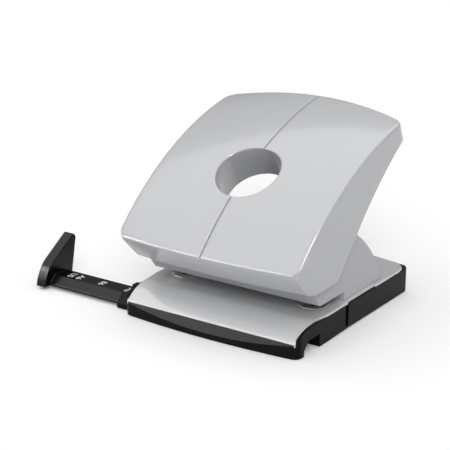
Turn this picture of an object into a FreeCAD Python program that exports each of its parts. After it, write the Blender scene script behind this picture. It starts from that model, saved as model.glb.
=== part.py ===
import FreeCAD, Part
import math
import os
import types

import Sketcher

# A two-hole desk punch. Millimetres. X runs along the line through the two punch holes, Y runs from
# the front, where the paper goes in, to the back, and Z is up. The origin is on the surface that the
# punch stands on, midway between the two punch holes.

DIMENSIONS = [
    # name, value, meaning
    ("hole_spacing", 80.0, "distance between the two punched holes"),
    ("pin_diameter", 5.5, "diameter of a punch pin"),
    ("fit", 0.05, "radial clearance of a pin, rod or bush in its hole"),
    ("seam", 0.4, "gap between parts that lie side by side"),
    # base mouldings
    ("foot_height", 0.8, "height of the rubber feet"),
    ("foot_radius", 5.0, "radius of a rubber foot"),
    ("foot_across", 42.0, "half the distance between left and right feet"),
    ("foot_front", -8.5, "position of the front feet"),
    ("foot_rear", 68.0, "position of the rear feet"),
    ("tray_half_width", 53.3, "half the width over the side walls"),
    ("tray_wall", 2.0, "thickness of the side walls"),
    ("tray_floor", 1.5, "thickness of the floor"),
    ("tray_front", -36.5, "front corners of the tray"),
    ("tray_front_bulge", 3.0, "how far the front wall bows forward"),
    ("tray_front_radius", 4.0, "corner radius at the front"),
    ("tray_rear", 80.5, "rear corners of the tray"),
    ("tray_rear_bulge", 4.3, "how far the rear wall bows backward"),
    ("tray_rear_radius", 6.0, "corner radius at the rear"),
    ("rim_drop_radius", 24.0, "radius by which the side walls fall away at the front"),
    ("rim_drop_start", -24.0, "where the side walls start to fall away"),
    ("hinge_line", 11.3, "position of the thin hinge line between flap and tray"),
    ("slot_half", 1.4, "half the width of the slot in the side walls at the hinge line"),
    ("thumb_line", -36.0, "top edge of the thumb bevel"),
    ("thumb_height", 8.3, "height of the top edge of the thumb bevel"),
    ("thumb_angle", 56.5, "slope of the thumb bevel"),
    # base plate
    ("plate_top", 15.2, "height of the top of the base plate"),
    ("plate_sheet", 1.5, "thickness of the base plate"),
    ("plate_half_width", 52.6, "half the width of the base plate"),
    ("plate_front", -35.8, "front edge of the base plate"),
    ("plate_bend_start", -18.0, "where the plate starts to curve down"),
    ("plate_bend_radius", 28.0, "radius of the curved front of the plate"),
    ("plate_rear", 76.6, "rear corners of the plate"),
    ("plate_rear_bulge", 4.7, "how far the rear edge of the plate bows backward"),
    ("plate_rear_radius", 9.0, "corner radius at the rear of the plate"),
    ("plate_inset", 1.0, "how much the curved front is narrower on each side"),
    ("plate_taper", 10.0, "length over which the plate widens behind its curved front"),
    ("plate_drop", 9.0, "deepest point of the curved front below the plate's top"),
    ("notch_front", 12.5, "front end of the notch in the plate's edge"),
    ("notch_rear", 41.5, "rear end of the notch in the plate's edge"),
    ("notch_depth", 1.3, "depth of the notch in the plate's edge"),
    ("die_diameter", 16.0, "diameter of a die insert"),
    ("die_lip", 0.1, "height of a die insert above the plate"),
    # housing
    ("handle_play", 1.4, "gap between the housing and the handle's side walls"),
    ("housing_wall", 2.2, "thickness of its side walls and rear cover"),
    ("housing_skin", 1.5, "thickness of its underside"),
    ("paper_gap", 5.1, "height of the paper slot"),
    ("paper_stop", 11.7, "paper stop, behind the hole line"),
    ("stop_wall", 2.0, "thickness of the paper stop"),
    ("housing_front", -12.3, "front lower edge of the housing"),
    ("nose_reach", 6.7, "how far the sloping front reaches forward"),
    ("nose_rise", 9.2, "height of the sloping front"),
    ("housing_rear", 51.4, "rear of the housing on the plate"),
    ("housing_back_radius", 75.9, "radius of the curved back of the housing"),
    ("housing_top", 49.3, "top edge of the housing's side walls"),
    ("housing_top_rear", 20.5, "where the curved back meets the top edge"),
    ("housing_top_length", 30.5, "length of the housing's straight top edge"),
    ("scallop_half_width", 23.0, "half the width of the recess for the thumb tube"),
    ("scallop_bottom", 34.0, "lowest point of the recess for the thumb tube"),
    # screws and rivets
    ("boss_radius", 3.6, "radius of the screw bosses in the housing"),
    ("boss_height", 8.5, "height of the screw bosses in the housing"),
    ("screw_across", 22.0, "half the distance between left and right base screws"),
    ("screw_front", 17.1, "front pair of base screws"),
    ("screw_rear", 42.0, "rear pair of base screws"),
    ("screw_radius", 1.45, "radius of a screw"),
    ("screw_head_radius", 2.7, "radius of a screw head"),
    ("screw_head_height", 1.8, "height of a screw head"),
    ("post_radius", 4.2, "radius of the screw posts in the tray"),
    ("rivet_radius", 1.6, "radius of a rivet"),
    ("rivet_head_radius", 3.0, "radius of a rivet head"),
    ("rivet_head_height", 1.1, "height of a rivet head"),
    ("rivet_front", 21.0, "front rivet of a bracket"),
    ("rivet_rear", 39.0, "rear rivet of a bracket"),
    # punch brackets
    ("bracket_sheet", 1.6, "sheet thickness of brackets and lever"),
    ("unit_outer", 8.4, "from a pin's axis to the outer face of its bracket"),
    ("unit_inner", 9.5, "from a pin's axis to the inner face of its bracket"),
    ("bracket_front", -9.2, "front edge of the bracket's shelf"),
    ("bracket_step", 14.0, "where the bracket steps down to the plate"),
    ("bracket_rear", 46.0, "rear end of a bracket"),
    ("cheek_top", 28.5, "height of the bracket's cheeks behind the axle"),
    ("cheek_nose", 5.0, "radius of the cheeks around the axle"),
    ("bush_radius", 3.4, "outer radius of a guide bush"),
    ("bush_height", 6.7, "height of a guide bush"),
    # pins and springs
    ("pin_lift", 0.3, "height of the pin tips above the paper slot"),
    ("pin_vee", 1.2, "depth of the V cut in the pin tips"),
    ("clip_thickness", 1.0, "thickness of a retaining clip"),
    ("clip_radius", 4.4, "radius of the clips on the pins"),
    ("neck_depth", 0.55, "depth of a clip groove"),
    ("pin_cap", 1.5, "length of a pin above its clip"),
    ("spring_wire", 0.8, "wire diameter of a return spring"),
    ("spring_radius", 4.15, "mean radius of a return spring"),
    ("spring_turns", 5.0, "turns of a return spring"),
    # lever and pivot
    ("pivot_front", -16.5, "position of the fulcrum axle"),
    ("pivot_height", 37.0, "height of the fulcrum axle"),
    ("axle_radius", 2.5, "radius of the fulcrum axle"),
    ("axle_clip_radius", 4.6, "radius of the clips on the axle"),
    ("press_arm", 16.8, "distance from the axle to the press rod"),
    ("press_angle", 15.0, "angle of the press rod above the axle at rest"),
    ("press_radius", 2.5, "radius of the press rod"),
    ("press_gap", 0.15, "gap between press rod and pins"),
    ("lever_play", 0.3, "side clearance of the lever arms inside the brackets"),
    ("arm_nose", 4.6, "radius of the lever arms around the axle"),
    ("arm_lug", 4.5, "radius of the lever arms around the press rod"),
    ("web_front", -15.0, "front end of the lever's web"),
    ("web_front_height", 61.0, "height of the web's front end"),
    ("web_angle", 25.0, "slope of the lever's web"),
    ("web_length", 66.0, "length of the lever's web along its slope"),
    ("web_hole_radius", 24.0, "hole in the web for the thumb tube"),
    ("lever_flange", 4.0, "depth of the folded edges of the lever's web"),
    ("flange_start", 19.8, "where the lever's arms meet the folded edges, from the web's front end"),
    # handle cover
    ("handle_wall", 2.5, "wall thickness of the handle cover"),
    ("lip_bottom", 31.0, "height of the handle's lower front edge"),
    ("lip_side", -23.4, "lower front edge at the sides"),
    ("lip_middle", -30.4, "lower front edge in the middle"),
    ("nose_side", -38.3, "front edge at the sides"),
    ("nose_side_height", 45.7, "height of the front edge at the sides"),
    ("nose_middle", -43.8, "front edge in the middle"),
    ("nose_middle_height", 44.3, "height of the front edge in the middle"),
    ("crown_side_radius", 174.4, "radius of the handle's top at the sides"),
    ("crown_middle_radius", 195.1, "radius of the handle's top in the middle"),
    ("tail_side", 62.3, "rear edge at the sides"),
    ("tail_side_height", 99.6, "height of the rear edge at the sides"),
    ("tail_middle", 69.8, "rear edge in the middle"),
    ("tail_middle_height", 105.0, "height of the rear edge in the middle"),
    ("tail_depth", 9.0, "height of the rear wall"),
    ("tail_slope", 1.3, "how far the rear wall leans back"),
    ("skirt_rear", -0.6, "rear end of the flat lower edge of the side walls"),
    ("skirt_radius", 230.0, "radius of the rising lower edge of the side walls"),
    ("edge_radius", 3.0, "rounding of the handle's top edges"),
    ("tail_radius", 3.0, "rounding of the handle's rear corners"),
    ("thumb_hole_radius", 17.3, "radius of the thumb hole"),
    ("thumb_tube_wall", 2.0, "wall of the tube inside the thumb hole"),
    ("thumb_tube_start", 1.6, "depth at which the tube leaves the top"),
    ("thumb_tube_depth", 18.8, "depth of the thumb hole"),
    ("thumb_hole_front", -0.1, "centre of the thumb hole"),
    ("thumb_hole_height", 78.0, "height of the centre of the thumb hole"),
    ("thumb_hole_tilt", 31.0, "tilt of the thumb hole towards the front"),
    ("lever_boss_radius", 3.4, "radius of the handle's screw bosses"),
    ("boss_length_front", 6.8, "length of the handle's front screw bosses"),
    ("boss_length_rear", 8.2, "length of the handle's rear screw bosses"),
    ("lever_boss_across", 34.0, "half the distance between left and right bosses"),
    ("lever_boss_front", 9.0, "front bosses, from the web's front end"),
    ("lever_boss_rear", 57.0, "rear bosses, from the web's front end"),
    # stop rail
    ("rail_top", 7.0, "height of the rail's flat top"),
    ("rail_bottom", 1.7, "height of the rail's underside"),
    ("rail_rear", -15.9, "rear face of the rail"),
    ("rail_ridge", -25.9, "front edge of the rail's flat top"),
    ("rail_front", -30.2, "front edge of the rail"),
    ("rail_ledge", 3.0, "height of the rail's front edge"),
    ("rail_end", 2.0, "inner end of the rail"),
    ("rail_clearance", 0.3, "clearance of the rail in its channel"),
    ("channel_wall", 1.3, "wall of the rail channel"),
    ("strap_bottom", 0.9, "underside of the straps that hold the rail"),
    ("strap_sheet", 0.5, "thickness of the straps that hold the rail"),
    ("finger_face", -110.4, "right face of the stop finger"),
    ("finger_sheet", 6.2, "thickness of the stop finger"),
    ("finger_height", 26.2, "height of the stop finger"),
    ("finger_foot", 4.2, "how far the finger reaches past the rail in front"),
    ("finger_heel", 4.2, "how far the finger's foot reaches past the rail behind"),
    ("finger_lean", 8.6, "how far the finger's top reaches past the rail behind"),
    ("finger_tip", 3.0, "height of the finger's rounded tip"),
    ("finger_tip_depth", 2.3, "depth of the finger's rounded tip"),
    ("finger_tip_radius", 3.2, "rounding of the finger's tip"),
    ("finger_slope", 11.4, "height of the finger's straight front edge"),
    ("finger_slope_end", 3.1, "lower end of the straight front edge, behind the rail's front"),
    ("finger_bend", 22.0, "radius of the front edge below its straight part"),
    ("finger_sole", 0.7, "height of the upright edge at the finger's foot"),
    ("guide_left", -62.0, "left face of the guide block"),
    ("guide_post_height", 9.3, "height of the post that hooks over the rail"),
    ("guide_post_front", -18.5, "front face of that post"),
    ("guide_jaw", 1.5, "thickness of the jaw in front of the rail"),
]


class Size:
    """A number that remembers the spreadsheet expression it comes from."""

    def __init__(self, text, value):
        self.text = text
        self.value = float(value)

    def __add__(self, other):
        other = as_size(other)
        return Size(f"({self.text} + {other.text})", self.value + other.value)

    def __sub__(self, other):
        other = as_size(other)
        return Size(f"({self.text} - {other.text})", self.value - other.value)

    def __mul__(self, other):
        other = as_size(other)
        return Size(f"({self.text} * {other.text})", self.value * other.value)

    def __truediv__(self, other):
        other = as_size(other)
        return Size(f"({self.text} / {other.text})", self.value / other.value)

    def __neg__(self):
        return Size(f"(0 - {self.text})", -self.value)

    def __radd__(self, other):
        return as_size(other) + self

    def __rsub__(self, other):
        return as_size(other) - self

    def __rmul__(self, other):
        return as_size(other) * self


def as_size(value):
    if isinstance(value, Size):
        return value
    return Size(f"({float(value):.6f})", value)


def cosine(angle):
    angle = as_size(angle)
    return Size(f"cos({angle.text})", math.cos(math.radians(angle.value)))


def sine(angle):
    angle = as_size(angle)
    return Size(f"sin({angle.text})", math.sin(math.radians(angle.value)))


def root(square):
    square = as_size(square)
    return Size(f"sqrt({square.text})", math.sqrt(square.value))


def bow_radius(half_chord, bulge):
    """Radius of the arc over a chord that bows out by bulge in the middle."""
    return (half_chord * half_chord + bulge * bulge) / (2 * bulge)


doc = FreeCAD.newDocument("hole_punch")
sheet = doc.addObject("Spreadsheet::Sheet", "Sizes")
for row, (name, value, meaning) in enumerate(DIMENSIONS, start=1):
    sheet.set(f"A{row}", name)
    sheet.set(f"B{row}", str(value))
    sheet.set(f"C{row}", meaning)
    sheet.setAlias(f"B{row}", name)
doc.recompute()
D = types.SimpleNamespace(**{name: Size(f"Sizes.{name}", value) for name, value, meaning in DIMENSIONS})

NODES = []


# ---------------------------------------------------------------- drawing and feature helpers

def bind(thing, path, size):
    thing.setExpression(path, as_size(size).text)


def place(thing, x=0, y=0, z=0, axis=None, angle=0):
    """Put a body or a primitive at a place given by sizes, turned about an axis."""
    if axis is not None:
        turn = FreeCAD.Rotation(FreeCAD.Vector(*axis), as_size(angle).value)
        thing.Placement = FreeCAD.Placement(FreeCAD.Vector(), turn)
        bind(thing, "Placement.Rotation.Angle", angle)
    for letter, value in zip("xyz", (x, y, z)):
        bind(thing, f"Placement.Base.{letter}", value)
    return thing


def new_body(name):
    return doc.addObject("PartDesign::Body", name)


def node(thing, label):
    """Name a finished sub-part; its label names its file."""
    thing.Label = label
    NODES.append(thing)
    return thing


def sketch_on(body, plane, offset=0):
    """A sketch parallel to one of the body's origin planes, moved along its normal."""
    sketch = body.newObject("Sketcher::SketchObject", body.Name + "_sketch")
    for feature in body.Origin.OriginFeatures:
        if feature.Role == plane + "_Plane":
            sketch.AttachmentSupport = [(feature, "")]
    sketch.MapMode = "FlatFace"
    bind(sketch, "AttachmentOffset.Base.z", offset)
    return sketch


def pin_down(sketch, geometry, corner, point):
    """Fix a corner of a line, arc or circle at a point given by sizes."""
    for kind, value in zip(("DistanceX", "DistanceY"), point):
        value = as_size(value)
        index = sketch.addConstraint(Sketcher.Constraint(kind, -1, 1, geometry, corner, value.value))
        bind(sketch, f"Constraints[{index}]", value)


def vector(point):
    return FreeCAD.Vector(as_size(point[0]).value, as_size(point[1]).value, 0)


def arc(point, radius, turn=1):
    """A step of an outline: an arc to a point, turning left (1) or right (-1)."""
    return types.SimpleNamespace(point=point, radius=as_size(radius), turn=turn)


def draw(sketch, start, *steps):
    """Draw a closed outline of straight runs (points) and arcs, fixed by sizes."""
    runs = []
    here = start
    for step in steps + (start,):
        bend = step if isinstance(step, types.SimpleNamespace) else None
        there = bend.point if bend else step
        a, b = vector(here), vector(there)
        if (a - b).Length < 1e-7:
            continue
        if bend:
            middle = (a + b) * 0.5
            half = (b - a).Length / 2
            rise = math.sqrt(max(bend.radius.value ** 2 - half ** 2, 0))
            left = FreeCAD.Vector(a.y - b.y, b.x - a.x, 0).normalize()
            centre = middle + left * (rise * bend.turn)
            first, last = (a, b) if bend.turn > 0 else (b, a)
            angles = [math.atan2(p.y - centre.y, p.x - centre.x) for p in (first, last)]
            circle = Part.Circle(centre, FreeCAD.Vector(0, 0, 1), bend.radius.value)
            index = sketch.addGeometry(Part.ArcOfCircle(circle, *angles), False)
            constraint = sketch.addConstraint(Sketcher.Constraint("Radius", index, bend.radius.value))
            bind(sketch, f"Constraints[{constraint}]", bend.radius)
            ends = (1, 2) if bend.turn > 0 else (2, 1)
        else:
            index = sketch.addGeometry(Part.LineSegment(a, b), False)
            ends = (1, 2)
        pin_down(sketch, index, ends[0], here)
        runs.append((index, ends))
        here = there
    for (one, one_ends), (two, two_ends) in zip(runs, runs[1:] + runs[:1]):
        sketch.addConstraint(Sketcher.Constraint("Coincident", one, one_ends[1], two, two_ends[0]))
    return sketch


def draw_circle(sketch, centre, radius):
    radius = as_size(radius)
    circle = Part.Circle(vector(centre), FreeCAD.Vector(0, 0, 1), radius.value)
    index = sketch.addGeometry(circle, False)
    constraint = sketch.addConstraint(Sketcher.Constraint("Radius", index, radius.value))
    bind(sketch, f"Constraints[{constraint}]", radius)
    pin_down(sketch, index, 3, centre)
    return sketch


def draw_box(sketch, low, high):
    return draw(sketch, low, (high[0], low[1]), high, (low[0], high[1]))


def pad(body, sketch, length):
    feature = body.newObject("PartDesign::Pad", body.Name + "_pad")
    feature.Profile = sketch
    bind(feature, "Length", length)
    return feature


def pocket(body, sketch, length):
    """Cut from the sketch's plane along its normal."""
    feature = body.newObject("PartDesign::Pocket", body.Name + "_pocket")
    feature.Profile = sketch
    feature.Reversed = True
    bind(feature, "Length", length)
    return feature


def loft(body, kind, sketches):
    feature = body.newObject("PartDesign::" + kind, body.Name + "_loft")
    feature.Profile = sketches[0]
    feature.Sections = sketches[1:]
    return feature


def turned(name, *outline):
    """A body turned about its own Z axis from an outline of (radius, height) points."""
    body = new_body(name)
    sketch = draw(sketch_on(body, "XZ"), *outline)
    feature = body.newObject("PartDesign::Revolution", name + "_turned")
    feature.Profile = sketch
    feature.ReferenceAxis = (sketch, ["V_Axis"])
    feature.Angle = 360
    return body


def ring(name, inner, outer, bottom, top):
    return turned(name, (inner, bottom), (outer, bottom), (outer, top), (inner, top))


def group(label, bodies):
    """Several equal solids that share one node."""
    compound = doc.addObject("Part::Compound", label)
    compound.Links = bodies
    return node(compound, label)


def drill(label, thing, *cylinders):
    """Cut cylinders out of a body and name the result."""
    cut = doc.addObject("Part::Cut", label)
    cut.Base = thing
    if len(cylinders) == 1:
        cut.Tool = cylinders[0]
    else:
        tools = doc.addObject("Part::MultiFuse", label + "_holes")
        tools.Shapes = list(cylinders)
        cut.Tool = tools
    return cut


def cylinder(name, radius, length):
    thing = doc.addObject("Part::Cylinder", name)
    bind(thing, "Radius", radius)
    bind(thing, "Height", length)
    return thing


# ---------------------------------------------------------------- places that several pieces share

X, Y, Z = (1, 0, 0), (0, 1, 0), (0, 0, 1)
SIDES = (("left", -1), ("right", 1))
hole_x = D.hole_spacing / 2
pin_radius = D.pin_diameter / 2
plate_bottom = D.plate_top - D.plate_sheet
floor_top = D.foot_height + D.tray_floor
gap_top = D.plate_top + D.paper_gap
shelf_top = gap_top + D.bracket_sheet
press_y = D.pivot_front + D.press_arm * cosine(D.press_angle)
press_z = D.pivot_height + D.press_arm * sine(D.press_angle)
pin_bottom = gap_top + D.pin_lift
pin_top = press_z - D.press_radius - D.press_gap
clip_top = pin_top - D.pin_cap
clip_bottom = clip_top - D.clip_thickness
neck_radius = pin_radius - D.neck_depth
bracket_outer = hole_x + D.unit_outer
bracket_inner = hole_x - D.unit_inner
bracket_width = bracket_outer - bracket_inner
arm_inner = bracket_outer - 2 * D.bracket_sheet - D.lever_play
housing_half = bracket_outer + D.seam + D.housing_wall
handle_half = housing_half + D.handle_play + D.handle_wall
rear_edge_of_flap = D.hinge_line - D.slot_half
front_edge_of_tray = D.hinge_line + D.slot_half


# ---------------------------------------------------------------- base mouldings

def flap_plan(sketch, rear):
    """Plan of the flap, with its bowed front wall."""
    half = D.tray_half_width
    corner = D.tray_front_radius
    bow = bow_radius(half, D.tray_front_bulge)
    corner_front = D.tray_front - 0.075 * corner
    draw(sketch, (half, rear), (-half, rear), (-half, D.tray_front + corner),
         arc((-half + corner, corner_front), corner * 1.04),
         arc((half - corner, corner_front), bow),
         arc((half, D.tray_front + corner), corner * 1.04))
    return sketch


def channel_outline(sketch, grow, bottom):
    """Section of the rail, grown by a clearance or a wall; it is open below."""
    top = D.rail_top + grow
    draw(sketch, (D.rail_front - grow, bottom), (D.rail_rear + grow, bottom), (D.rail_rear + grow, top),
         (D.rail_ridge - grow * 0.4, top), (D.rail_front - grow, D.rail_ledge + grow * 0.4))
    return sketch


def make_tray_flap():
    body = new_body("tray_flap")
    pad(body, flap_plan(sketch_on(body, "XY", D.foot_height), rear_edge_of_flap),
        plate_bottom - D.foot_height)
    rear = D.hinge_line - D.seam / 2
    hinge = draw_box(sketch_on(body, "XY", D.foot_height), (-D.tray_half_width, rear_edge_of_flap - 1),
                     (D.tray_half_width, rear))
    pad(body, hinge, D.tray_floor)
    # the chip space, open at the rear towards the fixed tray
    inner = D.tray_half_width - D.tray_wall
    space = draw_box(sketch_on(body, "XY", floor_top), (-inner, D.plate_front + D.tray_wall),
                     (inner, D.hinge_line))
    pocket(body, space, D.plate_top)
    # seat of the curved plate
    seat_radius = D.plate_bend_radius - D.plate_sheet
    front = D.thumb_line
    reach = D.plate_bend_start - front
    seat_front = plate_bottom - seat_radius + root(seat_radius * seat_radius - reach * reach)
    seat = sketch_on(body, "YZ", -(D.plate_half_width - D.plate_inset + 0.15))
    draw(seat, (front, D.plate_top + 5), (front, seat_front),
         arc((D.plate_bend_start, plate_bottom), seat_radius, -1), (D.hinge_line, plate_bottom),
         (D.hinge_line, D.plate_top + 5))
    pocket(body, seat, 2 * (D.plate_half_width - D.plate_inset + 0.15))
    # side walls fall away at the front, and the thumb bevel
    fall = D.rim_drop_start - (D.tray_front - 1)
    low = plate_bottom - D.rim_drop_radius + root(D.rim_drop_radius * D.rim_drop_radius - fall * fall)
    rim = sketch_on(body, "YZ", -D.tray_half_width - 1)
    draw(rim, (D.tray_front - 1, D.plate_top + 5), (D.tray_front - 1, low),
         arc((D.rim_drop_start, plate_bottom), D.rim_drop_radius, -1),
         (D.rim_drop_start, D.plate_top + 5))
    pocket(body, rim, 2 * D.tray_half_width + 2)
    bevel_run = 7
    bevel_drop = bevel_run * sine(D.thumb_angle) / cosine(D.thumb_angle)
    bevel = sketch_on(body, "YZ", -D.tray_half_width - 1)
    draw(bevel, (D.thumb_line, D.thumb_height), (D.thumb_line, D.plate_top + 5),
         (D.thumb_line - bevel_run, D.plate_top + 5), (D.thumb_line - bevel_run, D.thumb_height - bevel_drop))
    pocket(body, bevel, 2 * D.tray_half_width + 2)
    # rail channel, open below, and its guide block outside the left wall
    tunnel = sketch_on(body, "YZ", -D.tray_half_width + D.tray_wall / 2)
    channel_outline(tunnel, D.rail_clearance + D.channel_wall, D.foot_height)
    pad(body, tunnel, 2 * D.tray_half_width - D.tray_wall)
    grow = D.rail_clearance
    jaw_rear = D.rail_ridge - grow * 0.4
    jaw_front = D.rail_front - grow
    guide = sketch_on(body, "YZ", D.guide_left)
    draw(guide, (jaw_front - D.guide_jaw, D.strap_bottom - 0.4),
         (D.rail_rear + grow + D.channel_wall, D.strap_bottom - 0.4),
         (D.rail_rear + grow + D.channel_wall, D.guide_post_height),
         (D.guide_post_front, D.guide_post_height), (D.guide_post_front, D.rail_top + grow + 0.1),
         (jaw_rear, D.rail_top + grow + 0.1),
         (jaw_rear - D.guide_jaw, D.rail_top + grow + 0.1),
         (jaw_front - D.guide_jaw, D.rail_ledge + grow * 0.4))
    pad(body, guide, -D.tray_half_width + D.tray_wall / 2 - D.guide_left)
    channel = channel_outline(sketch_on(body, "YZ", D.guide_left - 1), D.rail_clearance,
                              D.strap_bottom + D.strap_sheet)
    pocket(body, channel, D.tray_half_width + 1 - D.guide_left)
    # the channel is open below, and the rail snaps in past straps
    opening = draw_box(sketch_on(body, "XY", D.foot_height - 1), (-D.tray_half_width + 9, jaw_front),
                       (-D.tray_half_width + 28, D.rail_rear + grow))
    draw_box(opening, (-D.tray_half_width + 34, jaw_front), (D.tray_half_width + 1, D.rail_rear + grow))
    pocket(body, opening, D.strap_bottom + D.strap_sheet + 1 - D.foot_height + 0.5)
    # the rail's flat top shows beside the guide post, outside the left wall
    window = draw_box(sketch_on(body, "XY", D.rail_top), (D.guide_left - 1, jaw_rear),
                      (-D.tray_half_width, D.guide_post_front))
    pocket(body, window, D.guide_post_height)
    return node(body, "tray_flap")


def rear_plan(sketch, half, front, rear, bulge, corner):
    """Plan with straight sides, rounded rear corners and a bowed rear edge."""
    bow = bow_radius(half - corner, bulge)
    draw(sketch, (-half, front), (half, front), (half, rear - corner),
         arc((half - corner, rear), corner), arc((-half + corner, rear), bow),
         arc((-half, rear - corner), corner))
    return sketch


def make_base_tray():
    body = new_body("base_tray")
    outer = rear_plan(sketch_on(body, "XY", D.foot_height), D.tray_half_width, front_edge_of_tray,
                      D.tray_rear, D.tray_rear_bulge, D.tray_rear_radius)
    pad(body, outer, plate_bottom - D.foot_height)
    wall = D.tray_wall
    inner = rear_plan(sketch_on(body, "XY", floor_top), D.tray_half_width - wall,
                      front_edge_of_tray + wall, D.tray_rear - 2 * wall, D.tray_rear_bulge,
                      D.tray_rear_radius - wall)
    pocket(body, inner, D.plate_top)
    lip = draw_box(sketch_on(body, "XY", D.foot_height),
                   (-D.tray_half_width, D.hinge_line + D.seam / 2),
                   (D.tray_half_width, front_edge_of_tray + 1))
    pad(body, lip, D.tray_floor)
    posts = sketch_on(body, "XY", D.foot_height)
    shanks = sketch_on(body, "XY", D.foot_height - 1)
    heads = sketch_on(body, "XY", D.foot_height - 1)
    for x in (-D.screw_across, D.screw_across):
        for y in (D.screw_front, D.screw_rear):
            draw_circle(posts, (x, y), D.post_radius)
            draw_circle(shanks, (x, y), D.screw_radius + D.fit)
            draw_circle(heads, (x, y), D.screw_head_radius + D.fit)
    pad(body, posts, plate_bottom - D.foot_height)
    pocket(body, shanks, D.plate_top)
    pocket(body, heads, 1 + D.tray_floor + D.screw_head_height)
    return node(body, "base_tray")


def make_foot(label, x, y):
    foot = turned(label, (0, 0), (D.foot_radius - 0.3, 0), (D.foot_radius, 0.3),
                  (D.foot_radius, D.foot_height), (0, D.foot_height))
    return place(foot, x, y, 0)


def make_feet():
    """Feet at the corners, and one in the middle of the line that the pins press on."""
    middle = make_foot("rubber_foot_middle", 0, 0)
    for label, y, feet in (("rubber_feet_front", D.foot_front, [middle]),
                           ("rubber_feet_rear", D.foot_rear, [])):
        for side, sign in SIDES:
            feet.append(make_foot(f"{label}_{side}", sign * D.foot_across, y))
        group(label, feet)


# ---------------------------------------------------------------- base plate and dies

def make_base_plate():
    body = new_body("base_plate")
    low = D.plate_top - D.plate_drop
    plan = rear_plan(sketch_on(body, "XY", low), D.plate_half_width, D.plate_front, D.plate_rear,
                     D.plate_rear_bulge, D.plate_rear_radius)
    pad(body, plan, D.plate_top - low)
    reach = D.plate_bend_start - (D.plate_front - 1)
    for under in (False, True):
        radius = D.plate_bend_radius - D.plate_sheet if under else D.plate_bend_radius
        edge = D.plate_top - D.plate_bend_radius + root(radius * radius - reach * reach)
        sketch = sketch_on(body, "YZ", -D.plate_half_width - 1)
        if under:
            rear = D.plate_rear + D.plate_rear_bulge + 1
            draw(sketch, (D.plate_front - 1, low - 1), (rear, low - 1), (rear, plate_bottom),
                 (D.plate_bend_start, plate_bottom), arc((D.plate_front - 1, edge), radius))
        else:
            draw(sketch, (D.plate_front - 1, D.plate_top + 1), (D.plate_front - 1, edge),
                 arc((D.plate_bend_start, D.plate_top), radius, -1), (D.plate_bend_start, D.plate_top + 1))
        pocket(body, sketch, 2 * D.plate_half_width + 2)
    sides = sketch_on(body, "XY", low - 1)
    for sign in (-1, 1):
        outer = sign * (D.plate_half_width + 1)
        inner = sign * (D.plate_half_width - D.plate_inset)
        notch = sign * (D.plate_half_width - D.notch_depth)
        full_width = D.plate_bend_start + D.plate_taper
        draw(sides, (inner, D.plate_front - 1), (inner, D.plate_bend_start),
             (sign * D.plate_half_width, full_width), (outer, full_width), (outer, D.plate_front - 1))
        draw_box(sides, (notch, D.notch_front), (outer, D.notch_rear))
    pocket(body, sides, D.plate_drop + 3)
    holes = sketch_on(body, "XY", low - 1)
    for sign in (-1, 1):
        draw_circle(holes, (sign * hole_x, 0), D.die_diameter / 2)
        for y in (D.screw_front, D.screw_rear):
            draw_circle(holes, (sign * D.screw_across, y), D.screw_radius + D.fit)
        for y in (D.rivet_front, D.rivet_rear):
            draw_circle(holes, (sign * rivet_x(), y), D.rivet_radius + D.fit)
    pocket(body, holes, D.plate_drop + 3)
    return node(body, "base_plate")


def rivet_x():
    return (bracket_outer + bracket_inner) / 2


def make_dies():
    for side, sign in SIDES:
        die = ring(f"die_{side}", pin_radius + D.fit, D.die_diameter / 2 - D.fit, plate_bottom,
                   D.plate_top + D.die_lip)
        node(place(die, sign * hole_x), f"die_{side}")


# ---------------------------------------------------------------- housing

def make_housing():
    body = new_body("housing")
    half = housing_half
    wall = D.housing_wall
    nose_y = D.housing_front - D.nose_reach
    nose_z = gap_top + D.nose_rise
    side = sketch_on(body, "YZ", -half)
    draw(side, (D.housing_front, gap_top), (D.paper_stop, gap_top), (D.paper_stop, D.plate_top),
         (D.housing_rear, D.plate_top),
         arc((D.housing_top_rear, D.housing_top), D.housing_back_radius),
         (D.housing_top_rear - D.housing_top_length, D.housing_top), (nose_y - 1, nose_z + 8.5), (nose_y, nose_z))
    pad(body, side, 2 * half)
    inside = sketch_on(body, "YZ", -half + wall)
    skin_top = gap_top + D.housing_skin
    stop_rear = D.paper_stop + D.stop_wall
    inner_radius = D.housing_back_radius - wall
    draw(inside, (stop_rear, D.plate_top - 1), (D.housing_rear - wall - 0.4, D.plate_top - 1),
         arc((D.housing_top_rear - 1.1, D.housing_top - wall * 0.87), inner_radius),
         (D.housing_top_rear - 1.1, D.housing_top + 2), (nose_y - 3, D.housing_top + 2),
         (nose_y - 3, nose_z), (nose_y + 3.2, nose_z), (D.housing_front + 2.2, skin_top),
         (stop_rear, skin_top))
    pocket(body, inside, 2 * (half - wall))
    windows = sketch_on(body, "XY", gap_top - 0.1)
    for sign in (-1, 1):
        draw_box(windows, (sign * (bracket_inner - D.seam), D.bracket_front - 3 * D.seam),
                 (sign * (half - wall), stop_rear + 1))
    pocket(body, windows, D.housing_skin + 1)
    scallop = sketch_on(body, "XY", D.scallop_bottom)
    draw_box(scallop, (-D.scallop_half_width, D.housing_top_rear - 6),
             (D.scallop_half_width, D.housing_rear))
    pocket(body, scallop, D.housing_top)
    bosses = sketch_on(body, "XY", D.plate_top)
    bores = sketch_on(body, "XY", D.plate_top - 1)
    for x in (-D.screw_across, D.screw_across):
        for y in (D.screw_front, D.screw_rear):
            draw_circle(bosses, (x, y), D.boss_radius)
            draw_circle(bores, (x, y), D.screw_radius + D.fit)
    pad(body, bosses, D.boss_height)
    pocket(body, bores, D.boss_height)
    return node(body, "housing")


# ---------------------------------------------------------------- punch brackets

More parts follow.
